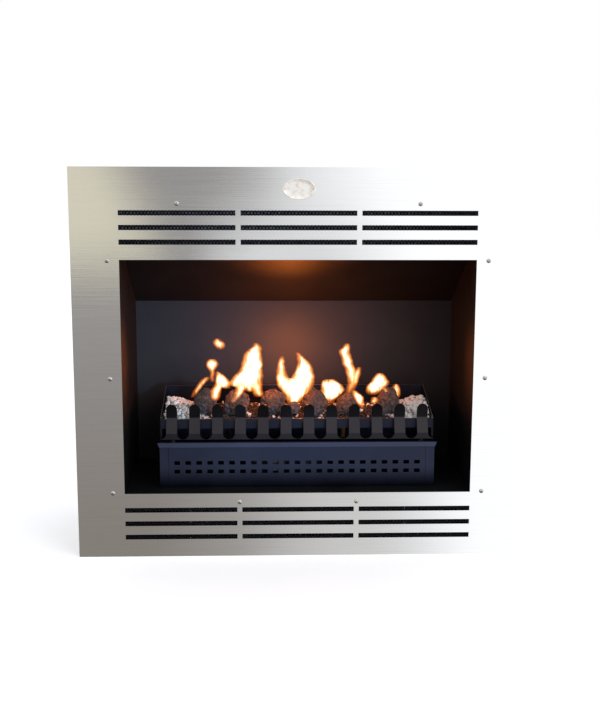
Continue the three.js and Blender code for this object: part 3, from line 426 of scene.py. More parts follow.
def dress(tree, shader, base, group, sizes, mask=None):
    """Feeds a shader from an effect group laid over a base colour, which a mask may darken."""
    effect = node(tree, "ShaderNodeGroup", sizes, node_tree=group)
    toned = tinted(tree, base, effect.outputs["Shade"])
    if mask:
        toned = tinted(tree, toned, mask)
    feed(tree, shader, {
        "Base Color": toned, "Roughness": effect.outputs["Roughness"], "Normal": effect.outputs["Normal"],
    })


def brushed_stainless(settings):
    """Stainless steel brushed along X, whose reflections spread up and down."""
    material, tree, shader = principled("brushed stainless", {"Metallic": 1.0, "Anisotropic": 0.6})
    dress(tree, shader, settings.steel, brushed_grain(), {
        "Length": settings.grain_length, "Width": settings.grain_width, "Smoothest": 0.06, "Roughest": 0.11,
    })
    feed(tree, shader, {"Tangent": node(tree, "ShaderNodeCombineXYZ", {"Z": 1.0}).outputs[0]})
    return material


def metal(name, base, smoothest, roughest, scale=0.004):
    """A plain metal with faint drawn lines."""
    material, tree, shader = principled(name, {"Metallic": 1.0})
    dress(tree, shader, base, brushed_grain(), {
        "Length": scale * 8, "Width": scale, "Smoothest": smoothest, "Roughest": roughest,
    })
    return material


def painted(name, base, smoothest, roughest, peel=900.0, depth=0.3, metallic=0.0):
    """Sprayed paint on steel, or a moulded surface."""
    material, tree, shader = principled(name, {"Metallic": metallic})
    dress(tree, shader, base, coat(), {
        "Peel": peel, "Smoothest": smoothest, "Roughest": roughest, "Depth": depth,
    })
    return material


def height_mask(tree, darkest, low, high):
    """A mask by height: darkest at the low end, and 1 above the high end."""
    return smooth_step(tree, axis(tree, object_place(tree), "Z"), low, high, darkest)


def matt_paint(name, base, settings):
    """The firebox's dull heat-proof paint, sooted towards the floor, with a faint cool sheen."""
    # Painted reflection: the sheen is tinted cool, standing in for bluish daylight.
    sheen = {"Specular IOR Level": 0.12, "Specular Tint": (*settings.firebox_gloss, 1.0)}
    material, tree, shader = principled(name, sheen)
    # Painted shade: the paint darkens towards the floor, where the grate shades it.
    clean = height_mask(tree, 0.1, settings.shade_end, settings.shade_top)
    dress(tree, shader, base, coat(), {
        "Peel": 700.0, "Smoothest": 0.55, "Roughest": 0.68, "Depth": 0.35,
    }, clean)
    return material


def graphite_paint(name, base, settings):
    """Satin graphite paint, scorched dark towards the foot, worn bright on the tray's and upstand's tops."""
    # Painted reflection: metallic, so the bluish base colour acts as the sheen, tinted like cool daylight,
    # over the paint's own dark tone.
    material, tree, shader = principled(name, {"Metallic": 1.0})
    # Painted shade: darker towards the foot, where the plate's bottom rail shades the grate.
    clean = height_mask(tree, 0.15, settings.foot_shade_end, settings.foot_shade_top)
    # Painted highlight: upward faces high on the grate turn pale, where their edges catch the light.
    upward = axis(tree, node(tree, "ShaderNodeNewGeometry").outputs["True Normal"], "Z")
    high = height_mask(tree, 0.0, settings.highlight_start, settings.highlight_full)
    highlight_mask = maths(tree, "MULTIPLY", smooth_step(tree, upward, 0.7, 0.9), high)
    dress(tree, shader, blended(tree, base, settings.edge_highlight, highlight_mask), coat(), {
        "Peel": 1100.0, "Smoothest": 0.4, "Roughest": 0.52, "Depth": 0.22,
    }, clean)
    return material


def galvanised(settings):
    """Zinc-coated sheet with its crystals."""
    material, tree, shader = principled("zinc coat", {"Metallic": 0.85})
    dress(tree, shader, settings.zinc, spangle(), {"Crystal": settings.spangle})
    return material


# How far the ash and the painted daylight reach up from the tray, and how dark the coal's darkest layers are.
ASH_AND_DAYLIGHT_REACH = 0.03
DARK_LAYER = 0.35

# How often coal layers and flame streaks repeat along each axis.
LAYERS = (35.0, 35.0, 190.0)
STREAKS = (170.0, 170.0, 42.0)

# Where clean granules give way to burnt ones inside the end heaps, how far that border wanders, and the
# tones at which a granule under the fire has stayed pale.
BORDER = (0.03, 0.045)
BORDER_WANDER = 0.09
STILL_PALE = (0.84, 0.9)


def coal_ceramic(settings):
    """Rough ceramic: brown with dark pits, worn bluish grey low down where ash and daylight reach it."""
    material, tree, shader = principled("ceramic", {"Specular IOR Level": 0.25})
    place = object_place(tree)
    pits = cloudy(tree, place, 170.0, 4.0, Roughness=0.6)
    patches = cloudy(tree, place, 55.0, 3.0)
    strata = cloudy(tree, scaled_place(tree, LAYERS), 1.0, 4.0)
    low = remap(tree, axis(tree, place, "Z"), 0.0, 1.0, TRAY_HIGH.z + ASH_AND_DAYLIGHT_REACH, TRAY_HIGH.z)
    dark = [part * DARK_LAYER for part in settings.coal_colour]
    body = blended(tree, settings.coal_colour, dark, strata)
    # Painted daylight with ash: bluish grey patches low down stand in for daylight on the coals' lower sides.
    mixed = blended(tree, body, settings.ash_and_daylight_colour, maths(tree, "MULTIPLY", low, patches))
    feed(tree, shader, {
        "Base Color": tinted(tree, mixed, remap(tree, pits, 0.4, 1.6, 0.3, 0.7)),
        "Roughness": remap(tree, pits, 0.8, 1.0),
        "Normal": bumped(tree, pits, 0.7, 0.0016),
    })
    return material


def granule_stone(settings):
    """Crushed granules, each of its own tone: pale at both ends, and most burnt dark under the fire."""
    material, tree, shader = principled("crushed stone", {"Specular IOR Level": 0.25})
    place = object_place(tree)
    tone = node(tree, "ShaderNodeAttribute", attribute_name="tone").outputs["Fac"]
    grit = cloudy(tree, place, 700.0, 4.0)
    from_middle = maths(tree, "ABSOLUTE", axis(tree, place, "X"))
    wandering = maths(tree, "MULTIPLY_ADD", cloudy(tree, place, 45.0, 2.0), BORDER_WANDER, from_middle)
    end = TRAY_HIGH.x - settings.end_reach
    clean = remap(tree, wandering, 0.0, 1.0, end + BORDER[0], end + BORDER[1])
    pale = maths(tree, "MAXIMUM", clean, remap(tree, tone, 0.0, 1.0, *STILL_PALE))
    mixed = blended(tree, settings.burnt_colour, settings.granule_colour, pale)
    own_tone = tinted(tree, mixed, remap(tree, tone, 0.32, 1.0, 0.0, 0.35))
    feed(tree, shader, {
        "Base Color": tinted(tree, own_tone, remap(tree, grit, 0.65, 1.25)),
        "Roughness": remap(tree, grit, 0.75, 0.95),
        "Normal": bumped(tree, grit, 0.5, 0.001),
    })
    return material


def flame_gas(settings):
    """Burning gas: the heat kept on its mesh, streaked upwards, sets its colour and how much it hides."""
    material, tree, shader = principled("burning gas", {
        "Base Color": (0.0, 0.0, 0.0, 1.0), "Roughness": 1.0, "Specular IOR Level": 0.0,
        "Emission Strength": settings.brightness,
    })
    heat = node(tree, "ShaderNodeAttribute", attribute_name="burning").outputs["Fac"]
    streaks = cloudy(tree, scaled_place(tree, STREAKS), 1.0, 3.0, Distortion=0.6)
    streaked = maths(tree, "MULTIPLY", heat, remap(tree, streaks, -0.2, 2.2))
    ramp = node(tree, "ShaderNodeValToRGB", {"Fac": streaked})
    set_stops(ramp, [
        (0.0, [part * 0.7 for part in settings.edge]), (0.8, settings.core), (0.16, settings.edge),
        (0.42, settings.body),
    ])
    feed(tree, shader, {
        "Emission Color": ramp.outputs["Color"], "Alpha": remap(tree, streaked, 0.0, settings.opacity),
    })
    return material


def name_metal(settings):
    """Pale satin metal with a faint cloudy tarnish."""
    material, tree, shader = principled("pale name metal", {"Metallic": 0.35})
    cloud = cloudy(tree, object_place(tree), 120.0, 4.0)
    tarnished = remap(tree, cloud, 0.0, 1.0, 0.45, 0.7)
    feed(tree, shader, {
        "Base Color": blended(tree, settings.name_metal, (0.74, 0.64, 0.55), tarnished),
        "Roughness": remap(tree, cloud, 0.35, 0.6),
        "Normal": bumped(tree, cloud, 0.1, 0.0003),
    })
    return material


# ------------------------------------------------------------------ meshes


def link(name, mesh):
    """A new object in the scene that holds a mesh."""
    piece = bpy.data.objects.new(name, mesh)
    bpy.context.scene.collection.objects.link(piece)
    return piece


def soften(mesh, degrees=35):
    """Smooth shading that keeps the edges sharper than an angle."""
    mesh.shade_smooth()
    mesh.set_sharp_from_angle(angle=math.radians(degrees))


def mesh_from(bm, name):
    """Turns a bmesh into a mesh and frees it."""
    mesh = bpy.data.meshes.new(name)
    bm.to_mesh(mesh)
    bm.free()
    return mesh


def seat(piece, nodes):
    """Makes a finished piece ride on the insert, in its finish and in the place of its solids."""
    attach(piece, "insert")
    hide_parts(*nodes)


def finish_nodes(names, material):
    """Gives solids that stay in view a finish."""
    for name in names:
        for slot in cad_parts[name].material_slots:
            slot.material = material


def grow(name, base, group, sizes):
    """The plain object that a geometry tree makes from a base mesh."""
    piece = link(name, base)
    modifier = piece.modifiers.new(name, "NODES")
    modifier.node_group = group
    for item in group.interface.items_tree:
        if item.item_type == "SOCKET" and item.in_out == "INPUT" and item.name in sizes:
            modifier[item.identifier] = sizes[item.name]
    bpy.context.view_layer.update()
    evaluated = piece.evaluated_get(bpy.context.evaluated_depsgraph_get())
    made = bpy.data.meshes.new_from_object(evaluated)
    if len(made.polygons) == 0:
        raise RuntimeError(f"{name}: its geometry tree made no faces")
    made.materials.clear()
    made.materials.append(sizes["Material"])
    made.name = name
    piece.modifiers.clear()
    piece.data = made
    return piece


def closed_skin(bm, loops, name):
    """A closed mesh: bands of faces between rings of vertices, and a cap at each end."""
    for lower, upper in zip(loops, loops[1:]):
        for i in range(len(lower)):
            k = (i + 1) % len(lower)
            bm.faces.new((lower[i], lower[k], upper[k], upper[i]))
    bm.faces.new(list(reversed(loops[0])))
    bm.faces.new(loops[-1])
    bmesh.ops.recalc_face_normals(bm, faces=bm.faces)
    return mesh_from(bm, name)


def turned(profile, sides, name, shape=None):
    """A closed body of revolution about Z from (radius, height) pairs that start and end on the axis."""
    bm = bmesh.new()
    rings = []
    for radius, height in profile:
        if radius == 0:
            rings.append([bm.verts.new((0, 0, height))] * sides)
            continue
        ring = []
        for i in range(sides):
            angle = 2 * math.pi * i / sides
            lift = shape(radius, angle) if shape else 0.0
            ring.append(bm.verts.new((radius * math.cos(angle), radius * math.sin(angle), height + lift)))
        rings.append(ring)
    for lower, upper in zip(rings, rings[1:]):
        for i in range(sides):
            corners = [lower[i], lower[(i + 1) % sides], upper[(i + 1) % sides], upper[i]]
            unique = list(dict.fromkeys(corners))
            if len(unique) > 2:
                bm.faces.new(unique)
    bmesh.ops.recalc_face_normals(bm, faces=bm.faces)
    mesh = mesh_from(bm, name)
    soften(mesh)
    return mesh


def marked_points(name, places):
    """A mesh of points only, each with the way that it faces."""
    mesh = bpy.data.meshes.new(name)
    mesh.from_pydata([place for place, _ in places], [], [])
    facing = mesh.attributes.new("facing", "FLOAT_VECTOR", "POINT")
    facing.data.foreach_set("vector", [value for _, way in places for value in way])
    return mesh


# ------------------------------------------------------------------ geometry trees


# How round a hole of the mesh is, and how close points are welded, in metres.
HOLE_SIDES = 12
SHEET_WELD = 0.00001
STRETCH_WELD = 0.00002


def joined(group, *parts):
    """Geometry from several sockets, laid together in order."""
    join = node(group, "GeometryNodeJoinGeometry")
    for part in parts:
        group.links.new(part, join.inputs[0])
    return join.outputs[0]


def sideways(group, x):
    """A vector along X."""
    return node(group, "ShaderNodeCombineXYZ", {"X": x}).outputs[0]


def realized(group, geometry):
    """Instances made into plain geometry."""
    return node(group, "GeometryNodeRealizeInstances", {"Geometry": geometry}).outputs[0]


def welded(group, geometry, distance):
    """Geometry whose points closer than a distance are one."""
    return node(group, "GeometryNodeMergeByDistance", {"Geometry": geometry, "Distance": distance}).outputs[0]


def finish_tree(group, given, out, geometry):
    """Ends a geometry tree by giving what it made the material."""
    sockets = {"Geometry": geometry, "Material": given["Material"]}
    group.links.new(node(group, "GeometryNodeSetMaterial", sockets).outputs[0], out["Geometry"])


def random_value(group, kind, low, high, seed):
    """A random number, whole number or vector for each point, between two ends."""
    sockets = {"Min": low, "Max": high, "Seed": seed}
    return node(group, "FunctionNodeRandomValue", sockets, data_type=kind).outputs["Value"]


@shared_group("set fixings", "GeometryNodeTree", [
    ("Geometry", GEOMETRY, None), ("Fixing", OBJECT, None), ("Turn", FLOAT, 0.0), ("Seed", INTEGER, 0),
    ("Material", MATERIAL, None),
], GROWN)
def fixing_tree(group, given, out):
    """Geometry tree: sets a screw or rivet on every point, square to the face, each turned its own way."""
    facing = node(group, "GeometryNodeInputNamedAttribute", {"Name": "facing"}, data_type="FLOAT_VECTOR")
    aligned = node(group, "FunctionNodeAlignRotationToVector", {"Vector": facing.outputs[0]}, axis="Z")
    fixing = node(group, "GeometryNodeObjectInfo", {"Object": given["Fixing"]})
    turn = random_value(group, "FLOAT", 0.0, given["Turn"], given["Seed"])
    spin = node(group, "ShaderNodeCombineXYZ", {"Z": turn})
    placed = node(group, "GeometryNodeInstanceOnPoints", {
        "Points": given["Geometry"], "Instance": fixing.outputs["Geometry"], "Rotation": aligned.outputs[0],
    })
    spun = node(group, "GeometryNodeRotateInstances", {
        "Instances": placed.outputs[0], "Rotation": spin.outputs[0], "Local Space": True,
    })
    finish_tree(group, given, out, realized(group, spun.outputs[0]))


def set_fixings(name, places, shape, material, turn, seed):
    """One object that holds a fixing of this shape at each (place, way it faces)."""
    pattern = link(name + "_pattern", shape)
    piece = grow(name, marked_points(name + "_points", places), fixing_tree(), {
        "Fixing": pattern, "Turn": turn, "Seed": seed, "Material": material,
    })
    bpy.data.objects.remove(pattern)
    return piece


@shared_group("perforated sheet", "GeometryNodeTree", [
    ("Geometry", GEOMETRY, None), ("Width", FLOAT, 0.1), ("Height", FLOAT, 0.05), ("Gauge", FLOAT, 0.001),
    ("Hole", FLOAT, 0.004), ("Pitch", FLOAT, 0.006), ("Row Pitch", FLOAT, 0.005), ("Columns", INTEGER, 10),
    ("Rows", INTEGER, 5), ("Place", VECTOR, (0.0, 0.0, 0.0)), ("Material", MATERIAL, None),
], GROWN)
def perforated_tree(group, given, out):
    """Geometry tree: a flat sheet with staggered rows of round holes, stood up facing the front."""
    columns_less_one = maths(group, "SUBTRACT", given["Columns"], 1.0)
    rows_less_one = maths(group, "SUBTRACT", given["Rows"], 1.0)
    grid = node(group, "GeometryNodeMeshGrid", {
        "Size X": maths(group, "MULTIPLY", columns_less_one, given["Pitch"]),
        "Size Y": maths(group, "MULTIPLY", rows_less_one, given["Row Pitch"]),
        "Vertices X": given["Columns"], "Vertices Y": given["Rows"],
    })
    height = axis(group, node(group, "GeometryNodeInputPosition").outputs[0], "Y")
    half_rows = maths(group, "MULTIPLY", rows_less_one, 0.5)
    row = maths(group, "ADD", maths(group, "DIVIDE", height, given["Row Pitch"]), half_rows)
    odd = maths(group, "MODULO", maths(group, "ROUND", row), 2.0)
    half_pitch = maths(group, "MULTIPLY", given["Pitch"], 0.5)
    shift = maths(group, "MULTIPLY", maths(group, "SUBTRACT", odd, 0.5), half_pitch)
    staggered = node(group, "GeometryNodeSetPosition", {
        "Geometry": grid.outputs["Mesh"], "Offset": sideways(group, shift),
    })
    circle = node(group, "GeometryNodeCurvePrimitiveCircle", {
        "Resolution": HOLE_SIDES, "Radius": maths(group, "MULTIPLY", given["Hole"], 0.5),
    })
    holes = node(group, "GeometryNodeInstanceOnPoints", {
        "Points": staggered.outputs[0], "Instance": circle.outputs["Curve"],
    })
    border = node(group, "GeometryNodeCurvePrimitiveQuadrilateral", {
        "Width": given["Width"], "Height": given["Height"],
    })
    outlines = joined(group, realized(group, holes.outputs[0]), border.outputs[0])
    filled = node(group, "GeometryNodeFillCurve", {"Curve": outlines}).outputs[0]
    thick = node(group, "GeometryNodeExtrudeMesh", {
        "Mesh": filled, "Offset Scale": given["Gauge"], "Individual": False,
    })
    under = node(group, "GeometryNodeFlipFaces", {"Mesh": filled})
    closed = joined(group, thick.outputs["Mesh"], under.outputs[0])
    stood = node(group, "GeometryNodeTransform", {
        "Geometry": welded(group, closed, SHEET_WELD), "Translation": given["Place"],
        "Rotation": (math.pi / 2, 0.0, 0.0),
    })
    finish_tree(group, given, out, stood.outputs[0])


@shared_group("repeat stretch", "GeometryNodeTree", [
    ("Geometry", GEOMETRY, None), ("Count", INTEGER, 1), ("Pitch", FLOAT, 0.01), ("Start", FLOAT, 0.0),
    ("Material", MATERIAL, None),
], GROWN)
def repeat_tree(group, given, out):
    """Geometry tree: repeats one stretch of a sheet along X and welds the stretches together."""
    line = node(group, "GeometryNodeMeshLine", {
        "Count": given["Count"], "Start Location": sideways(group, given["Start"]),
        "Offset": sideways(group, given["Pitch"]),
    }, mode="OFFSET")
    placed = node(group, "GeometryNodeInstanceOnPoints", {
        "Points": line.outputs[0], "Instance": given["Geometry"],
    })
    finish_tree(group, given, out, welded(group, realized(group, placed.outputs[0]), STRETCH_WELD))


@shared_group("scatter chunks", "GeometryNodeTree", [
    ("Geometry", GEOMETRY, None), ("Chunk A", OBJECT, None), ("Chunk B", OBJECT, None),
    ("Chunk C", OBJECT, None), ("Spacing", FLOAT, 0.005), ("Seed", INTEGER, 0),
    ("Tone Seed", INTEGER, 1), ("Material", MATERIAL, None),
], GROWN)
def scatter_tree(group, given, out):
    """Geometry tree: heaps chunks over the upward faces of a bed, which stays under them."""
    upward = axis(group, node(group, "GeometryNodeInputNormal").outputs[0], "Z")
    facing_up = node(group, "FunctionNodeCompare", {"A": upward, "B": 0.2}, data_type="FLOAT").outputs[0]
    points = node(group, "GeometryNodeDistributePointsOnFaces", {
        "Mesh": given["Geometry"], "Selection": facing_up, "Distance Min": given["Spacing"],
        "Density Max": 60000.0, "Density Factor": 1.0, "Seed": given["Seed"],
    }, distribute_method="POISSON")
    toned = node(group, "GeometryNodeStoreNamedAttribute", {
        "Geometry": points.outputs["Points"], "Name": "tone",
        "Value": random_value(group, "FLOAT", 0.2, 1.0, given["Tone Seed"]),
    }, data_type="FLOAT", domain="POINT")
    chunks = []
    for label in ("Chunk A", "Chunk B", "Chunk C"):
        chunk = node(group, "GeometryNodeObjectInfo", {"Object": given[label], "As Instance": True})
        chunks.append(chunk.outputs["Geometry"])
    full_turn = (2 * math.pi, 2 * math.pi, 2 * math.pi)
    placed = node(group, "GeometryNodeInstanceOnPoints", {
        "Points": toned.outputs["Geometry"], "Instance": joined(group, *chunks), "Pick Instance": True,
        "Instance Index": random_value(group, "INT", 0, len(chunks) - 1, given["Seed"]),
        "Rotation": random_value(group, "FLOAT_VECTOR", (0.0, 0.0, 0.0), full_turn, given["Seed"]),
        "Scale": random_value(group, "FLOAT", 0.6, 1.25, given["Seed"]),
    })
    finish_tree(group, given, out, joined(group, realized(group, placed.outputs[0]), given["Geometry"]))


# ------------------------------------------------------------------ the stage


# The camera's sensor, in millimetres, and how far the camera sees, in metres.
SENSOR_WIDTH = 36.0
FAR_END = 50.0

# Half the floor's width, and the two lamps of the room: where each hangs and points, in metres, and the
# daylight's opening in degrees.
FLOOR_REACH = 8.0
KEY_PLACE = (1.6, -2.6, 1.9)
KEY_TARGET = (0.0, 0.0, 0.35)
KEY_SIZE = 1.4
DAYLIGHT_PLACE = (0.75, -2.3, 0.5)
DAYLIGHT_TARGET = (-0.17, 0.1, 0.36)
DAYLIGHT_RADIUS = 0.12
DAYLIGHT_CONE = 15


def camera_matrix(settings):
    """Where the camera stands and how it is turned."""
    pitch, yaw, roll = settings.pitch, settings.yaw, settings.roll
    forward = Vector((math.sin(yaw) * math.cos(pitch), math.cos(yaw) * math.cos(pitch), -math.sin(pitch)))
    level = Vector((math.cos(yaw), -math.sin(yaw), 0.0))
    above = level.cross(forward)
    right = math.cos(roll) * level - math.sin(roll) * above
    up = math.sin(roll) * level + math.cos(roll) * above
    turn = Matrix((right, up, -forward)).transposed().to_4x4()
    return Matrix.Translation(settings.eye) @ turn


def lamp(name, kind, place, power, tint, **more):
    """A lamp of one kind at a place, with its other settings."""
    source = bpy.data.lights.new(name, kind)
    for key, value in {"energy": power, "color": tint, **more}.items():
        setattr(source, key, value)
    holder = link(name, source)
    holder.location = place
    return holder


def aim(holder, target):
    """Turns a lamp towards a target."""
    holder.rotation_euler = (Vector(target) - holder.location).to_track_quat("-Z", "Y").to_euler()


def spot(name, place, target, power, tint, radius, degrees):
    """A soft-edged spotlight that points at a target."""
    cone = {"shadow_soft_size": radius, "spot_size": math.radians(degrees), "spot_blend": 1.0}
    aim(lamp(name, "SPOT", place, power, tint, **cone), target)


# How the window takes over from the dim side of the room at three heights that the plate shows, from the
# top down, as (place across the room, share of the window). The span is the reach of the colour ramps.
WINDOW_TOP = (
    (-0.04, 0.0), (-0.005, 0.17), (0.011, 0.36), (0.027, 0.57), (0.045, 0.7), (0.075, 0.82), (0.11, 1.0),
)
WINDOW_RAIL = (
    (-0.062, 0.0), (-0.042, 0.33), (-0.022, 0.5), (-0.003, 0.58), (0.055, 0.5), (0.075, 0.63), (0.113, 0.83),
    (0.135, 1.0),
)
WINDOW_LOW = (
    (-0.09, 0.0), (-0.0165, 0.12), (0.023, 0.31), (0.06, 0.42), (0.1, 0.46), (0.12, 0.54), (0.14, 0.68),
    (0.18, 0.98),
)
WINDOW_SPAN = 0.24

# The (start, end) heights of each change in the reflected room. The wall's side follows a slanted height.
TOP_TO_RAIL = (-0.03, -0.08)
RAIL_TO_LOW = (-0.13, -0.25)
WALL_SIDE = (-0.11, -0.145)
WALL_FOOT = (-0.104, -0.086)
WALL_SLANT = 0.48
SHADE_FALL = (-0.1, -0.34)
CEILING_RISE = (0.1, 0.35)
HEARTH_FALL = (-0.4, -0.62)


def window_share(tree, place, stops):
    """How much of the window shows at a place across the room."""
    edge = node(tree, "ShaderNodeValToRGB", {"Fac": remap(tree, place, 0.0, 1.0, -WINDOW_SPAN, WINDOW_SPAN)})
    inner = [((across + WINDOW_SPAN) / (2 * WINDOW_SPAN), (part,) * 3) for across, part in stops]
    set_stops(edge, [(0.0, (0.0,) * 3), (1.0, (1.0,) * 3), *inner])
    return edge.outputs["Color"]


def reflected_room(tree, settings, across, height):
    """What polished metal shows: a pale wall far left, shade, a window right and a dark hearth below."""

    def by_height(change):
        return smooth_step(tree, height, *change)

    top, rail, low = [window_share(tree, across, stops) for stops in (WINDOW_TOP, WINDOW_RAIL, WINDOW_LOW)]
    window = blended(tree, blended(tree, top, rail, by_height(TOP_TO_RAIL)), low, by_height(RAIL_TO_LOW))
    slanted = maths(tree, "MULTIPLY_ADD", height, WALL_SLANT, across)
    wall = maths(tree, "MULTIPLY", smooth_step(tree, slanted, *WALL_SIDE), by_height(WALL_FOOT))
    shade = blended(tree, settings.shade_light, settings.low_shade_light, by_height(SHADE_FALL))
    room = blended(tree, blended(tree, shade, settings.wall_light, wall), settings.window_light, window)
    covered = blended(tree, room, settings.ceiling_light, by_height(CEILING_RISE))
    return blended(tree, covered, settings.hearth_light, by_height(HEARTH_FALL))


def soft_room(tree, settings, across, height):
    """The room's soft light on matt surfaces: stronger from above and from the right."""
    lit = maths(tree, "MULTIPLY_ADD", height, 0.8, across)
    return blended(tree, settings.low_light, settings.high_light, smooth_step(tree, lit, -0.9, 1.0))


def room_world(settings):
    """The room round the object, white where the camera sees it."""
    world = bpy.data.worlds.new("room")
    world.use_nodes = True
    tree = world.node_tree
    tree.nodes.clear()
    way = node(tree, "ShaderNodeTexCoord").outputs["Generated"]
    parts = node(tree, "ShaderNodeSeparateXYZ", {"Vector": way}).outputs
    paths = node(tree, "ShaderNodeLightPath").outputs
    soft = soft_room(tree, settings, parts["X"], parts["Z"])
    sharp = reflected_room(tree, settings, parts["X"], parts["Z"])
    both = blended(tree, soft, sharp, paths["Is Glossy Ray"])
    shown = blended(tree, both, (1.0, 1.0, 1.0), paths["Is Camera Ray"])
    background = node(tree, "ShaderNodeBackground", {"Color": shown, "Strength": 1.0})
    node(tree, "ShaderNodeOutputWorld", {"Surface": background.outputs[0]})
    return world


class FIREPLACE_OT_stage(bpy.types.Operator):
    """Sets the camera, the pale floor and the room's soft light"""

    bl_idname = "fireplace.stage"
    bl_label = "Stage"

    def execute(self, context):
        settings = context.scene.fireplace_stage
        context.scene.view_settings.view_transform = "Standard"
        camera = bpy.data.cameras.new("camera")
        camera.lens = settings.lens
        camera.sensor_width = SENSOR_WIDTH
        camera.clip_end = FAR_END
        holder = link("camera", camera)
        holder.matrix_world = camera_matrix(settings)
        context.scene.camera = holder
        context.scene.world = room_world(settings)
        bm = bmesh.new()
        bmesh.ops.create_grid(bm, x_segments=1, y_segments=1, size=FLOOR_REACH)
        floor = link("floor", mesh_from(bm, "floor"))
        floor.data.materials.append(principled("pale floor", {
            "Base Color": (*settings.floor_colour, 1.0), "Roughness": 0.9,
            "Emission Color": (1.0, 1.0, 1.0, 1.0), "Emission Strength": settings.floor_glow,
        })[0])
        floor.visible_glossy = False
        floor.visible_diffuse = False
        key = lamp(
            "key", "AREA", KEY_PLACE, settings.key_power, (1.0, 0.98, 0.96),
            shape="RECTANGLE", size=KEY_SIZE, size_y=KEY_SIZE,
        )
        aim(key, KEY_TARGET)
        spot(
            "daylight", DAYLIGHT_PLACE, DAYLIGHT_TARGET, settings.daylight_power, settings.daylight,
            DAYLIGHT_RADIUS, DAYLIGHT_CONE,
        )
        return {"FINISHED"}


# ------------------------------------------------------------------ the front plate


DARK_STEEL = (0.42, 0.41, 0.4)


def oval_rings(centre, half_width, half_height, rings, sides=48):
    """A dished oval lying on the plate, from (share of its size, rise) pairs ending at its middle."""
    bm = bmesh.new()
    loops = []
    for size, rise in rings:
        loops.append([
            bm.verts.new((
                centre.x + half_width * size * math.cos(2 * math.pi * i / sides),
                PLATE_FACE - rise,
                centre.z + half_height * size * math.sin(2 * math.pi * i / sides),
            ))
            for i in range(sides)
        ])
    return closed_skin(bm, loops, "name_plate")


class FIREPLACE_OT_front_plate(bpy.types.Operator):
    """Gives the front plate its brushed finish"""

    bl_idname = "fireplace.front_plate"
    bl_label = "Front Plate"

    def execute(self, context):
        finish_nodes(["front_plate"], brushed_stainless(context.scene.fireplace_plate))
        return {"FINISHED"}


def screw_shape(settings):
    """A pan-head screw with a cross recess, its shank pointing down its own axis."""
    radius, rise = settings.head_radius, settings.head_rise
    shank = settings.shank_radius
    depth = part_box("plate_screw_1")[1].y - PLATE_FACE
    arm = math.radians(16)

    def recess(at, angle):
        if at > radius * 0.56:
            return 0.0
        off = abs((angle + math.pi / 4) % (math.pi / 2) - math.pi / 4)
        return -settings.recess if off < arm or at < radius * 0.16 else 0.0

    profile = [
        (0, rise - settings.recess), (radius * 0.14, rise), (radius * 0.3, rise),
        (radius * 0.48, rise * 0.99), (radius * 0.58, rise * 0.97), (radius * 0.78, rise * 0.84),
        (radius * 0.93, rise * 0.55), (radius, rise * 0.2), (radius, 0), (shank, 0),
        (shank, shank - depth), (0, -depth),
    ]
    return turned(profile, 40, "screw", recess)


class FIREPLACE_OT_screws(bpy.types.Operator):
    """Sets a pan-head screw at every hole of the plate"""

    bl_idname = "fireplace.screws"
    bl_label = "Plate Screws"

    def execute(self, context):
        settings = context.scene.fireplace_plate
        nodes = sorted(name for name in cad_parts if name.startswith("plate_screw_"))
        places = []
        for name in nodes:
            low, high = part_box(name)
            places.append((((low.x + high.x) / 2, PLATE_FACE, (low.z + high.z) / 2), (0, -1, 0)))
        steel = metal("screw steel", DARK_STEEL, 0.25, 0.4, scale=0.001)
        piece = set_fixings("plate_screws", places, screw_shape(settings), steel, math.pi, 3)
        seat(piece, nodes)
        return {"FINISHED"}


class FIREPLACE_OT_name_plate(bpy.types.Operator):
    """Makes the bare oval name plate with its rim and two rivets"""

    bl_idname = "fireplace.name_plate"
    bl_label = "Name Plate"

    def execute(self, context):
        settings = context.scene.fireplace_plate
        low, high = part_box("name_plate")
        centre = (low + high) / 2
        gauge = PLATE_FACE - low.y
        half_width, half_height = (high.x - low.x) / 2, (high.z - low.z) / 2
        oval = oval_rings(centre, half_width, half_height, [
            (1.0, 0.0), (1.0, gauge * 0.6), (0.985, gauge * 0.95), (0.955, gauge), (0.935, gauge * 0.85),
            (0.92, gauge * 0.7), (0.6, gauge * 0.75), (0.25, gauge * 0.8),
        ])
        oval.materials.append(name_metal(settings))
        soften(oval, 50)
        seat(link("name_plate_oval", oval), ["name_plate"])
        radius = settings.rivet_radius
        dome = turned([
            (0, radius * 0.5), (radius * 0.5, radius * 0.42), (radius * 0.85, radius * 0.22), (radius, 0),
            (0, -0.0002),
        ], 16, "name_rivet")
        reach = half_width - settings.rivet_inset
        places = [((side * reach, PLATE_FACE - gauge * 0.75, centre.z), (0, -1, 0)) for side in (-1, 1)]
        dark = metal("dark rivet metal", DARK_STEEL, 0.3, 0.45, scale=0.0006)
        rivets = set_fixings("name_plate_rivets", places, dome, dark, math.pi, 5)
        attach(rivets, "insert")
        return {"FINISHED"}


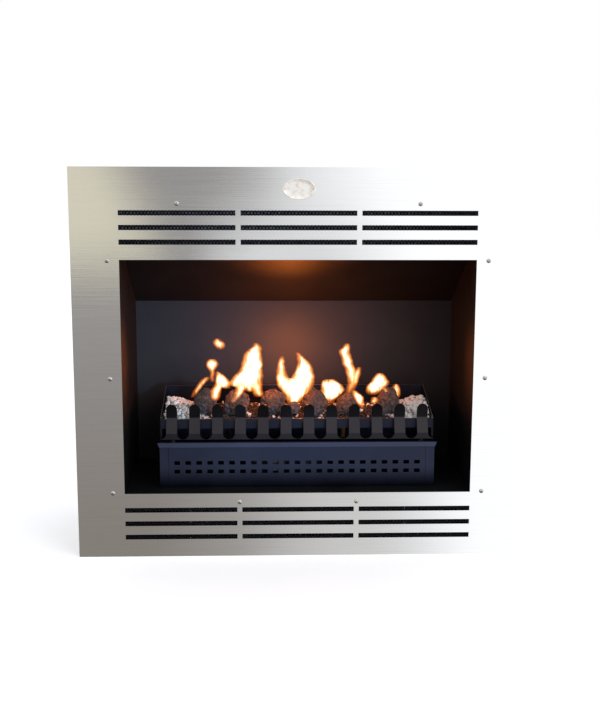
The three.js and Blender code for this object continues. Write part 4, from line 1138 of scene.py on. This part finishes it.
class FIREPLACE_OT_vent_meshes(bpy.types.Operator):
    """Makes the perforated sheets behind the louvre slots"""

    bl_idname = "fireplace.vent_meshes"
    bl_label = "Vent Meshes"

    def execute(self, context):
        settings = context.scene.fireplace_mesh
        paint = painted("mesh paint", settings.paint, 0.45, 0.6, peel=1500.0, depth=0.2, metallic=1.0)
        row_pitch = settings.pitch * math.sqrt(3) / 2
        for name in ("upper_vent_mesh", "lower_vent_mesh"):
            low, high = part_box(name)
            size = high - low
            centre = (low + high) / 2
            columns = int((size.x - 2 * settings.margin - settings.pitch) / settings.pitch)
            rows = int((size.z - 2 * settings.margin) / row_pitch)
            piece = grow(name + "_sheet", bpy.data.meshes.new(name), perforated_tree(), {
                "Width": size.x, "Height": size.z, "Gauge": size.y, "Hole": settings.hole,
                "Pitch": settings.pitch, "Row Pitch": row_pitch, "Columns": columns, "Rows": rows,
                "Place": (centre.x, high.y, centre.z), "Material": paint,
            })
            seat(piece, [name])
        return {"FINISHED"}


# ------------------------------------------------------------------ the casing and the firebox


def along(start, end, step):
    """Evenly spaced places from start to end, about a step apart."""
    count = max(1, round((end - start) / step))
    return [start + (end - start) * i / count for i in range(count + 1)]


class FIREPLACE_OT_casing(bpy.types.Operator):
    """Galvanises the casing and rivets its seams"""

    bl_idname = "fireplace.casing"
    bl_label = "Casing"

    def execute(self, context):
        settings = context.scene.fireplace_casing
        finish_nodes([
            "casing_base", "casing_top", "casing_back", "casing_side_left", "casing_side_right",
            "floor_bearer_left", "floor_bearer_right", "rear_stay",
        ], galvanised(settings))
        low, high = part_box("casing_back")
        inset = settings.rivet_inset
        places = []
        for z in along(low.z + 2 * inset, high.z - 2 * inset, settings.rivet_step):
            for x in (low.x + inset, high.x - inset):
                places.append(((x, high.y, z), (0, 1, 0)))
        radius, rise = settings.rivet_radius, settings.rivet_rise
        dome = turned([
            (0, rise * 0.2), (radius * 0.3, rise * 0.2), (radius * 0.36, rise), (radius * 0.7, rise * 0.85),
            (radius * 0.95, rise * 0.4), (radius, 0), (0, -rise / 4),
        ], 20, "pop_rivet")
        aluminium = metal("rivet aluminium", (0.72, 0.73, 0.74), 0.3, 0.45, scale=0.001)
        rivets = set_fixings("casing_rivets", places, dome, aluminium, math.pi, 9)
        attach(rivets, "insert")
        return {"FINISHED"}


class FIREPLACE_OT_firebox(bpy.types.Operator):
    """Paints the firebox"""

    bl_idname = "fireplace.firebox"
    bl_label = "Firebox"

    def execute(self, context):
        settings = context.scene.fireplace_grate
        paint = matt_paint("firebox paint", settings.firebox_paint, settings)
        finish_nodes(["firebox_floor", "firebox_back"], paint)
        # Painted shade: the ceiling and sides get a darker copy of the firebox paint.
        shaded = matt_paint("sooted paint", settings.shaded_paint, settings)
        finish_nodes(["firebox_ceiling", "firebox_side_left", "firebox_side_right"], shaded)
        return {"FINISHED"}


# ------------------------------------------------------------------ the grate


class Fold:
    """The line that a folded sheet's front face follows, as (y, z) points with round bends."""

    def __init__(self, corners, radius, steps=6):
        self.points = [Vector(corners[0])]
        for before, corner, after in zip(corners, corners[1:], corners[2:]):
            before, corner, after = Vector(before), Vector(corner), Vector(after)
            one = (before - corner).normalized()
            two = (after - corner).normalized()
            half = one.angle(two) / 2
            cut = radius / math.tan(half)
            centre = corner + (one + two).normalized() * radius / math.sin(half)
            start, end = corner + one * cut, corner + two * cut
            first, last = start - centre, end - centre
            for i in range(steps + 1):
                self.points.append(centre + first.slerp(last, i / steps) * radius)
        self.points.append(Vector(corners[-1]))
        self.lengths = [0.0]
        for one, two in zip(self.points, self.points[1:]):
            self.lengths.append(self.lengths[-1] + (two - one).length)

    def at(self, length):
        """The point and the rearward normal at a length along the line."""
        for i in range(1, len(self.points)):
            if length <= self.lengths[i] or i == len(self.points) - 1:
                run = self.points[i] - self.points[i - 1]
                part = (length - self.lengths[i - 1]) / (self.lengths[i] - self.lengths[i - 1])
                return self.points[i - 1] + run * part, self.normal(i, part)
        raise RuntimeError("the fold has no such length")

    def normal(self, i, part):
        """The normal of a stretch, turned towards its neighbour's near its ends."""

        def square(k):
            run = self.points[k] - self.points[k - 1]
            return Vector((run.y, -run.x)).normalized()

        here = square(i)
        if part < 0.5 and i > 1:
            return (here + square(i - 1)).normalized().lerp(here, part * 2).normalized()
        if part > 0.5 and i < len(self.points) - 1:
            return here.lerp((here + square(i + 1)).normalized(), part * 2 - 1).normalized()
        return here

    def length_at(self, height, start):
        """The length at which the line first reaches a height, past a starting length."""
        for i in range(1, len(self.points)):
            low, high = self.points[i - 1].y, self.points[i].y
            if self.lengths[i] > start and low <= height <= high and high > low:
                run = self.lengths[i] - self.lengths[i - 1]
                return self.lengths[i - 1] + (height - low) / (high - low) * run
        return self.lengths[-1]


def fret_stretch(settings, pitch, base, front, top):
    """One tab of the fret with its share of the band and flange, open where its neighbours join it."""
    half_pitch, half_tab = pitch / 2, settings.tab_width / 2
    gap_radius = half_pitch - half_tab
    gap_low = base + settings.gap_floor
    shoulder = top - half_tab
    knee = base + settings.band
    hip = knee + settings.lean_height
    fold = Fold([
        (front + settings.flange, base), (front, base), (front, knee), (front + settings.lean, hip),
        (front + settings.lean - settings.tip_return, top),
    ], settings.bend)

    def half_width(height):
        if height < gap_low:
            return half_pitch
        if height < gap_low + gap_radius:
            drop = gap_low + gap_radius - height
            return half_pitch - math.sqrt(max(gap_radius ** 2 - drop ** 2, 0.0))
        if height > shoulder:
            return math.sqrt(max(half_tab ** 2 - (height - shoulder) ** 2, 0.0))
        return half_tab

    arc_steps = 10
    arc = [math.pi / 2 * i / arc_steps for i in range(arc_steps + 1)]
    heights = [gap_low + gap_radius * (1 - math.cos(angle)) for angle in arc]
    heights += [shoulder + half_tab * math.sin(angle) for angle in arc]
    stations = set(round(value, 7) for value in fold.lengths)
    stations |= set(round(fold.length_at(height, settings.flange), 7) for height in heights)
    stations = sorted(stations)
    stations = [stations[0]] + [b for a, b in zip(stations, stations[1:]) if b - a > 2e-6]
    columns = 8
    bm = bmesh.new()
    faces = {0.0: [], settings.gauge: []}
    free = []
    for station in stations:
        point, rearward = fold.at(station)
        upright = station > settings.flange
        half = half_width(point.y if upright else base)
        free.append(upright and point.y > gap_low - 1e-6)
        for offset, rows in faces.items():
            at = point + rearward * offset
            rows.append([
                bm.verts.new((half * (2 * i / columns - 1), at.x, at.y)) for i in range(columns + 1)
            ])
    outer, inner = faces[0.0], faces[settings.gauge]
    for k in range(len(stations) - 1):
        for i in range(columns):
            bm.faces.new((outer[k][i], outer[k][i + 1], outer[k + 1][i + 1], outer[k + 1][i]))
            bm.faces.new((inner[k][i + 1], inner[k][i], inner[k + 1][i], inner[k + 1][i + 1]))
        if free[k]:
            bm.faces.new((outer[k][0], outer[k + 1][0], inner[k + 1][0], inner[k][0]))
            bm.faces.new((outer[k + 1][-1], outer[k][-1], inner[k][-1], inner[k + 1][-1]))
    for i in range(columns):
        bm.faces.new((outer[0][i + 1], outer[0][i], inner[0][i], inner[0][i + 1]))
        bm.faces.new((outer[-1][i], outer[-1][i + 1], inner[-1][i + 1], inner[-1][i]))
    return mesh_from(bm, "fret_stretch")


def close_ends(mesh):
    """Closes the open ends of a sheet and clears faces that have no area."""
    bm = bmesh.new()
    bm.from_mesh(mesh)
    bmesh.ops.remove_doubles(bm, verts=bm.verts, dist=1e-5)
    bmesh.ops.dissolve_degenerate(bm, dist=1e-6, edges=bm.edges)
    bmesh.ops.holes_fill(bm, edges=[edge for edge in bm.edges if edge.is_boundary], sides=0)
    bmesh.ops.recalc_face_normals(bm, faces=bm.faces)
    bm.to_mesh(mesh)
    bm.free()


def upright_disc(bm, centre, radius, low, high, sides=24):
    """A short round foot standing on end."""
    matrix = Matrix.Translation((centre[0], centre[1], (low + high) / 2))
    bmesh.ops.create_cone(
        bm, cap_ends=True, segments=sides, radius1=radius, radius2=radius, depth=high - low, matrix=matrix
    )


class FIREPLACE_OT_fret(bpy.types.Operator):
    """Folds the castellated fret and sets it on its two feet"""

    bl_idname = "fireplace.fret"
    bl_label = "Castellated Fret"

    def execute(self, context):
        settings = context.scene.fireplace_grate
        low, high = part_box("castellated_fret")
        base = low.z + settings.pad_height
        pitch = (high.x - low.x) / settings.tabs
        paint = painted("fret paint", settings.fret_paint, 0.36, 0.48, peel=1100.0, depth=0.22, metallic=1.0)
        stretch = fret_stretch(settings, pitch, base, low.y, high.z)
        piece = grow("fret", stretch, repeat_tree(), {
            "Count": settings.tabs, "Pitch": pitch, "Start": low.x + pitch / 2, "Material": paint,
        })
        close_ends(piece.data)
        bm = bmesh.new()
        bm.from_mesh(piece.data)
        for x in (low.x + settings.pad_inset, high.x - settings.pad_inset):
            upright_disc(bm, (x, low.y + settings.flange / 2), settings.pad_radius, low.z, base)
        bm.to_mesh(piece.data)
        bm.free()
        soften(piece.data)
        seat(piece, ["castellated_fret"])
        return {"FINISHED"}


class FIREPLACE_OT_grate(bpy.types.Operator):
    """Paints the grate box, its cover and rail, the tray and the upstand"""

    bl_idname = "fireplace.grate"
    bl_label = "Grate"

    def execute(self, context):
        settings = context.scene.fireplace_grate
        paint = graphite_paint("graphite paint", settings.grate_paint, settings)
        finish_nodes(["burner_box", "front_rail", "burner_cover", "control_bracket"], paint)
        darkened = graphite_paint("darkened paint", settings.tray_paint_and_sheen, settings)
        finish_nodes(["fire_tray", "grate_back", "grate_side_left", "grate_side_right"], darkened)
        return {"FINISHED"}


class FIREPLACE_OT_gas_parts(bpy.types.Operator):
    """Finishes the gas control, the burner and the pilot"""

    bl_idname = "fireplace.gas_parts"
    bl_label = "Gas Parts"

    def execute(self, context):
        # Painted shade: the alloy and the brass are far darker than bare metal, standing in for the shade
        # behind the cover and under the tray.
        alloy = painted("shade-darkened alloy", (0.03, 0.028, 0.028), 0.45, 0.6, 500.0, 0.6, metallic=0.8)
        finish_nodes(["gas_valve"], alloy)
        brass = metal("shade-darkened brass", (0.17, 0.11, 0.05), 0.3, 0.45)
        finish_nodes([
            "valve_rotor", "valve_spindle", "burner_venturi", "inlet_fitting", "inlet_locknut",
        ], brass)
        copper = metal("drawn copper", (0.17, 0.08, 0.05), 0.35, 0.5)
        finish_nodes(["feed_pipe", "supply_pipe", "pilot_pipe", "thermocouple"], copper)
        tube = metal("heat-dulled tube", (0.5, 0.48, 0.46), 0.3, 0.5)
        finish_nodes(["burner_tube", "pilot_burner"], tube)
        plastic = painted("black moulding", (0.02, 0.02, 0.02), 0.35, 0.5, 1500.0, 0.2)
        finish_nodes(["control_knob", "igniter_body", "igniter_button"], plastic)
        porcelain = painted("glazed porcelain", (0.82, 0.8, 0.74), 0.25, 0.35, 400.0, 0.05)
        finish_nodes(["spark_electrode"], porcelain)
        return {"FINISHED"}


# ------------------------------------------------------------------ granules, coals and flames


def chunk_shape(seed, size):
    """A small angular stone, the same on every run for its seed."""
    noise.seed_set(seed)
    bm = bmesh.new()
    bmesh.ops.create_icosphere(bm, subdivisions=1, radius=size / 2)
    for vert in bm.verts:
        shift = noise.noise_vector(vert.co / size * 2.3 + Vector((seed * 11.3, seed * 5.1, seed * 7.7)))
        vert.co += shift * size * 0.3
        vert.co = Vector([math.copysign(abs(c) ** 0.85 * (size / 2) ** 0.15, c) for c in vert.co])
    return mesh_from(bm, f"chunk_{seed}")


def bed_mesh(settings):
    """The heap that the granules lie on: a closed low mound that fills the tray."""
    low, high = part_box("vermiculite_bed")
    inset = Vector((0.6, 0.6, 0.0)) * settings.granule
    low, high = low + inset, high - inset
    columns, rows = 90, 24
    bm = bmesh.new()
    tops, bottoms = [], []
    ripples, ripple_height = 40, 0.003
    for i in range(columns + 1):
        x = low.x + (high.x - low.x) * i / columns
        from_end = min((x - low.x) / settings.end_reach, (high.x - x) / settings.end_reach, 1.0)
        mound = settings.end_mound * (1 + math.cos(math.pi * from_end)) / 2
        tops.append([])
        bottoms.append([])
        for k in range(rows + 1):
            y = low.y + (high.y - low.y) * k / rows
            across = max(math.sin(math.pi * k / rows), 0.0)
            ripple = noise.noise(Vector((x * ripples, y * ripples, 0.0))) * ripple_height * across
            rise = settings.edge + settings.crown * across ** 1.6 + mound * math.sqrt(across) + ripple
            tops[-1].append(bm.verts.new((x, y, low.z + rise - settings.granule * 0.55)))
            bottoms[-1].append(bm.verts.new((x, y, low.z)))
    for i in range(columns):
        for k in range(rows):
            bm.faces.new((tops[i][k], tops[i + 1][k], tops[i + 1][k + 1], tops[i][k + 1]))
            bm.faces.new((bottoms[i][k], bottoms[i][k + 1], bottoms[i + 1][k + 1], bottoms[i + 1][k]))
    for i in range(columns):
        bm.faces.new((bottoms[i][0], bottoms[i + 1][0], tops[i + 1][0], tops[i][0]))
        bm.faces.new((tops[i][-1], tops[i + 1][-1], bottoms[i + 1][-1], bottoms[i][-1]))
    for k in range(rows):
        bm.faces.new((tops[0][k], tops[0][k + 1], bottoms[0][k + 1], bottoms[0][k]))
        bm.faces.new((bottoms[-1][k], bottoms[-1][k + 1], tops[-1][k + 1], tops[-1][k]))
    return mesh_from(bm, "granule_bed")


class FIREPLACE_OT_granules(bpy.types.Operator):
    """Heaps the granules in the tray"""

    bl_idname = "fireplace.granules"
    bl_label = "Granules"

    def execute(self, context):
        settings = context.scene.fireplace_fuel
        chunks = [link(f"chunk_{seed}", chunk_shape(seed, settings.granule)) for seed in (1, 2, 3)]
        piece = grow("granules", bed_mesh(settings), scatter_tree(), {
            "Chunk A": chunks[0], "Chunk B": chunks[1], "Chunk C": chunks[2], "Spacing": settings.spacing,
            "Seed": settings.seed, "Tone Seed": settings.seed + 1, "Material": granule_stone(settings),
        })
        for chunk in chunks:
            bpy.data.objects.remove(chunk)
        seat(piece, ["vermiculite_bed"])
        return {"FINISHED"}


def lump(centre, half_size, seed):
    """A rough ceramic coal: an egg pushed about by coarse, middling and fine ridges."""
    bm = bmesh.new()
    bmesh.ops.create_icosphere(bm, subdivisions=6, radius=1.0)
    start = Vector((seed * 3.7, seed * 1.9, seed * 5.3))
    for vert in bm.verts:
        way = vert.co.normalized()
        coarse = noise.fractal(way * 1.1 + start, 1.0, 2.0, 3)
        ridges = noise.ridged_multi_fractal(way * 2.6 + start, 0.9, 2.1, 5, 1.0, 2.0)
        grit = noise.fractal(way * 11.0 + start, 0.8, 2.0, 3)
        swell = 0.95 + 0.16 * coarse + 0.08 * (ridges - 1.2) + 0.018 * grit
        vert.co = centre + way * half_size * swell
    return mesh_from(bm, "coal")


class FIREPLACE_OT_coals(bpy.types.Operator):
    """Sets the ceramic coals on the granules"""

    bl_idname = "fireplace.coals"
    bl_label = "Ceramic Coals"

    def execute(self, context):
        ceramic = coal_ceramic(context.scene.fireplace_fuel)
        nodes = sorted(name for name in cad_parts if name.startswith("ceramic_"))
        for seed, name in enumerate(nodes, 1):
            low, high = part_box(name)
            mesh = lump((low + high) / 2, (high - low) / 2, seed)
            mesh.materials.append(ceramic)
            soften(mesh, 60)
            seat(link(name + "_lump", mesh), [name])
        return {"FINISHED"}


# Each flame: its depth behind the plate's face, and its outline as (height, left edge, right edge) rows from
# its foot to its tip, in millimetres.
FLAMES = {
    "flame_spark": (120, [
        (364, -145, -142), (369, -150, -138), (376, -154, -138), (381, -154, -143), (385, -151, -148),
    ]),
    "flame_tooth": (110, [
        (305, -160, -155), (313, -161, -158), (324, -161, -157), (332, -166, -153), (340, -168, -150),
        (347, -164, -155),
    ]),
    "flame_slant": (80, [
        (281, -196, -194), (289, -192, -188), (297, -188, -182), (305, -182, -176), (314, -175, -167),
        (319, -170, -166),
    ]),
    "flame_left": (110, [
        (292, -138, -128), (297, -150, -127), (303, -151, -128), (313, -150, -136), (323, -152, -149),
    ]),
    "flame_left_foot": (80, [
        (275, -156, -149), (282, -158, -146), (295, -158, -144), (302, -153, -142), (309, -148, -142),
    ]),
    "flame_big": (128, [
        (284, -106, -70), (290, -114, -68), (297, -128, -67), (305, -122, -66), (314, -114, -66),
        (325, -105, -67), (336, -102, -67), (348, -99, -68), (358, -94, -69), (367, -83, -68),
        (375, -79, -75),
    ]),
    "flame_big_right": (126, [
        (272, -78, -64), (280, -80, -65), (288, -83, -67), (300, -86, -67),
    ]),
    "flame_big_middle": (124, [
        (282, -89, -84), (290, -94, -83), (300, -98, -82),
    ]),
    "flame_big_left": (78, [
        (266, -124, -122), (274, -121, -115), (282, -117, -108), (290, -114, -103), (300, -112, -99),
        (309, -110, -100),
    ]),
    "flame_horn_left": (126, [
        (288, -32, -7), (297, -34, -10), (307, -36, -15), (318, -36, -21), (332, -34, -24), (342, -31, -25),
        (350, -28, -26),
    ]),
    "flame_horn_right": (124, [
        (272, -14, 20), (282, -19, 28), (293, -19, 31), (304, -11, 32), (314, -5, 32), (325, 1, 29),
        (336, 4, 24), (347, 3, 13), (357, 1, 3),
    ]),
    "flame_centre": (116, [
        (257, -13, 0), (264, -15, 6), (273, -19, 12), (283, -25, 18), (294, -33, 18), (303, -35, 12),
        (311, -34, -22),
    ]),
    "flame_wide": (112, [
        (262, 61, 69), (268, 56, 71), (274, 46, 77), (281, 47, 84), (288, 48, 88), (296, 49, 85),
        (303, 51, 76), (307, 56, 70),
    ]),
    "flame_tall": (120, [
        (276, 90, 106), (284, 95, 108), (294, 99, 112), (304, 99, 114), (316, 97, 113), (327, 94, 109),
        (338, 89, 105), (350, 86, 102), (361, 83, 99), (368, 89, 99), (375, 95, 98),
    ]),
    "flame_tall_side": (118, [
        (292, 102, 112), (302, 107, 114), (311, 109, 117), (320, 112, 120), (330, 117, 120),
    ]),
    "flame_tall_foot": (84, [
        (257, 122, 126), (266, 117, 124), (274, 111, 123), (282, 108, 120), (292, 102, 108),
    ]),
    "flame_right": (124, [
        (276, 138, 154), (284, 135, 162), (292, 137, 171), (300, 144, 175), (309, 149, 169), (317, 155, 164),
    ]),
    "flame_right_spark": (90, [
        (283, 171, 174), (287, 168, 172), (292, 165, 169), (297, 161, 164),
    ]),
    "flame_right_low": (84, [
        (267, 142, 147), (273, 141, 151), (279, 142, 148),
    ]),
    "flame_end": (118, [
        (270, 191, 193), (277, 189, 195), (286, 186, 195), (292, 185, 193), (297, 188, 191),
    ]),
}

# The fire's light: where each lamp hangs (across, behind the plate's face, up, in millimetres) and its share.
GLOWS = {
    "glow_left": ((-88, 130, 345), 0.02),
    "glow_middle": ((-10, 154, 350), 0.43),
    "glow_right": ((100, 130, 345), 0.02),
}

# What the fire lights from further off: where each spotlight hangs and points (across, behind the
# plate's face, up, in millimetres), its opening in degrees and its share.
BEAMS = {
    "beam_ceiling": ((-14, 100, 400), (-16, 62, 552), 105, 1.3),
    "beam_left": ((-120, 120, 350), (-316, 12, 345), 55, 0.85),
    "beam_right": ((120, 120, 350), (316, 12, 345), 55, 0.55),
    "beam_coals_left": ((-125, 60, 316), (-125, 112, 250), 104, 0.05),
    "beam_coals_middle": ((-55, 58, 314), (-55, 112, 250), 104, 0.07),
    "beam_coals_centre": ((10, 58, 312), (10, 112, 250), 104, 0.075),
    "beam_coals_right": ((85, 60, 312), (85, 112, 250), 104, 0.06),
    "beam_coals_end": ((150, 62, 312), (150, 112, 250), 104, 0.035),
}

# How large the fire's lamps are, in metres.
GLOW_RADIUS = 0.025
BEAM_RADIUS = 0.02


def behind_plate(x, depth, height):
    """A point given in millimetres: across, behind the plate's face, and up."""
    return x * MM, PLATE_FACE + depth * MM, height * MM


def curve_value(p, q, r, s, t):
    """The value at t on an even curve from q to r that comes from p and goes on to s."""
    bend = (2 * p - 5 * q + 4 * r - s) * t * t
    twist = (3 * q - p - 3 * r + s) * t ** 3
    return 0.5 * (2 * q + (r - p) * t + bend + twist)


def smooth_rows(rows, steps):
    """Rows of numbers joined by an even curve through all of them."""
    padded = [rows[0]] + list(rows) + [rows[-1]]
    result = []
    for a, b, c, d in zip(padded, padded[1:], padded[2:], padded[3:]):
        for i in range(steps):
            result.append([curve_value(*column, i / steps) for column in zip(a, b, c, d)])
    result.append(list(rows[-1]))
    return result


def flame_mesh(depth, rows, settings):
    """A closed tongue of flame whose heat falls softly from its middle to its edges, its foot and its tip."""
    sides, soft_edge, skirt = 32, settings.soft_edge / MM, settings.skirt / MM
    stations = smooth_rows(rows, 6)
    bm = bmesh.new()
    heat = bm.verts.layers.float.new("burning")
    loops = []
    for index, (height, left, right) in enumerate(stations):
        part = index / (len(stations) - 1)
        fade = min(1.0, part / 0.3 + 0.1) * min(1.0, (stations[-1][0] - height) / soft_edge + 0.3)
        left += 1.5 * noise.noise(Vector((depth, height * 0.13, 1.7))) - skirt
        right += 1.5 * noise.noise(Vector((depth, height * 0.13, 9.2))) + skirt
        middle, half = (left + right) / 2, max((right - left) / 2, 0.5)
        wave = 4 * noise.noise(Vector((depth, height * 0.05, 4.4)))
        loop = []
        for i in range(sides):
            angle = 2 * math.pi * i / sides
            across, deep = math.cos(angle), math.sin(angle)
            y = depth + wave + deep * half * settings.thickness
            vert = bm.verts.new((middle * MM + across * half * MM, PLATE_FACE + y * MM, height * MM))
            side_noise = noise.noise(Vector((depth, height * 0.06, math.copysign(5.3, across))))
            rim = soft_edge * (1.25 - 0.6 * part + 0.7 * side_noise)
            vert[heat] = fade * min((1 - abs(across)) * half / rim, 1.0)
            loop.append(vert)
        loops.append(loop)
    return closed_skin(bm, loops, "flame")


class FIREPLACE_OT_flames(bpy.types.Operator):
    """Lights the fire: the flames and the warm light that they give"""

    bl_idname = "fireplace.flames"
    bl_label = "Flames"

    def execute(self, context):
        settings = context.scene.fireplace_flame
        gas = flame_gas(settings)
        for name, (depth, rows) in FLAMES.items():
            mesh = flame_mesh(depth, rows, settings)
            mesh.materials.append(gas)
            mesh.shade_smooth()
            tongue = link(name, mesh)
            tongue.visible_diffuse = False
            tongue.visible_glossy = False
            tongue.visible_shadow = False
            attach(tongue, "insert")
        for name, (place, part) in GLOWS.items():
            power = settings.glow_power * part
            lamp(name, "POINT", behind_plate(*place), power, settings.glow, shadow_soft_size=GLOW_RADIUS)
        for name, (start, end, degrees, part) in BEAMS.items():
            power = settings.glow_power * part
            ends = behind_plate(*start), behind_plate(*end)
            spot(name, *ends, power, settings.glow, BEAM_RADIUS, degrees)
        return {"FINISHED"}


# ------------------------------------------------------------------ the add-on


SETTINGS = {
    "fireplace_stage": StageSettings,
    "fireplace_plate": PlateSettings,
    "fireplace_mesh": MeshSettings,
    "fireplace_casing": CasingSettings,
    "fireplace_grate": GrateSettings,
    "fireplace_fuel": FuelSettings,
    "fireplace_flame": FlameSettings,
}

OPERATORS = (
    FIREPLACE_OT_stage,
    FIREPLACE_OT_front_plate,
    FIREPLACE_OT_screws,
    FIREPLACE_OT_name_plate,
    FIREPLACE_OT_vent_meshes,
    FIREPLACE_OT_casing,
    FIREPLACE_OT_firebox,
    FIREPLACE_OT_grate,
    FIREPLACE_OT_fret,
    FIREPLACE_OT_gas_parts,
    FIREPLACE_OT_granules,
    FIREPLACE_OT_coals,
    FIREPLACE_OT_flames,
)


class FIREPLACE_PT_panel(bpy.types.Panel):
    """Lists the steps that dress the fireplace, and their sizes and colours"""

    bl_idname = "FIREPLACE_PT_panel"
    bl_label = "Fireplace Insert"
    bl_space_type = "VIEW_3D"
    bl_region_type = "UI"
    bl_category = "Fireplace"

    def draw(self, context):
        layout = self.layout
        for operator in OPERATORS:
            layout.operator(operator.bl_idname)
        for attribute, group in SETTINGS.items():
            box = layout.box()
            box.label(text=group.__doc__)
            for key in group.__annotations__:
                box.prop(getattr(context.scene, attribute), key)


def register():
    """Registers the classes and hangs the settings on the scene."""
    for group in SETTINGS.values():
        bpy.utils.register_class(group)
    for attribute, group in SETTINGS.items():
        setattr(bpy.types.Scene, attribute, PointerProperty(type=group))
    for operator in OPERATORS:
        bpy.utils.register_class(operator)
    bpy.utils.register_class(FIREPLACE_PT_panel)


def unregister():
    """Takes the settings and the classes away again."""
    bpy.utils.unregister_class(FIREPLACE_PT_panel)
    for operator in reversed(OPERATORS):
        bpy.utils.unregister_class(operator)
    for attribute in SETTINGS:
        delattr(bpy.types.Scene, attribute)
    for group in reversed(SETTINGS.values()):
        bpy.utils.unregister_class(group)


def main():
    """Dresses the whole insert and writes how large it is."""
    register()
    for operator in OPERATORS:
        step = getattr(bpy.ops.fireplace, operator.bl_idname.split(".")[1])
        if step() != {"FINISHED"}:
            raise RuntimeError(f"{operator.bl_label} did not finish")


if __name__ == "__main__":
    main()
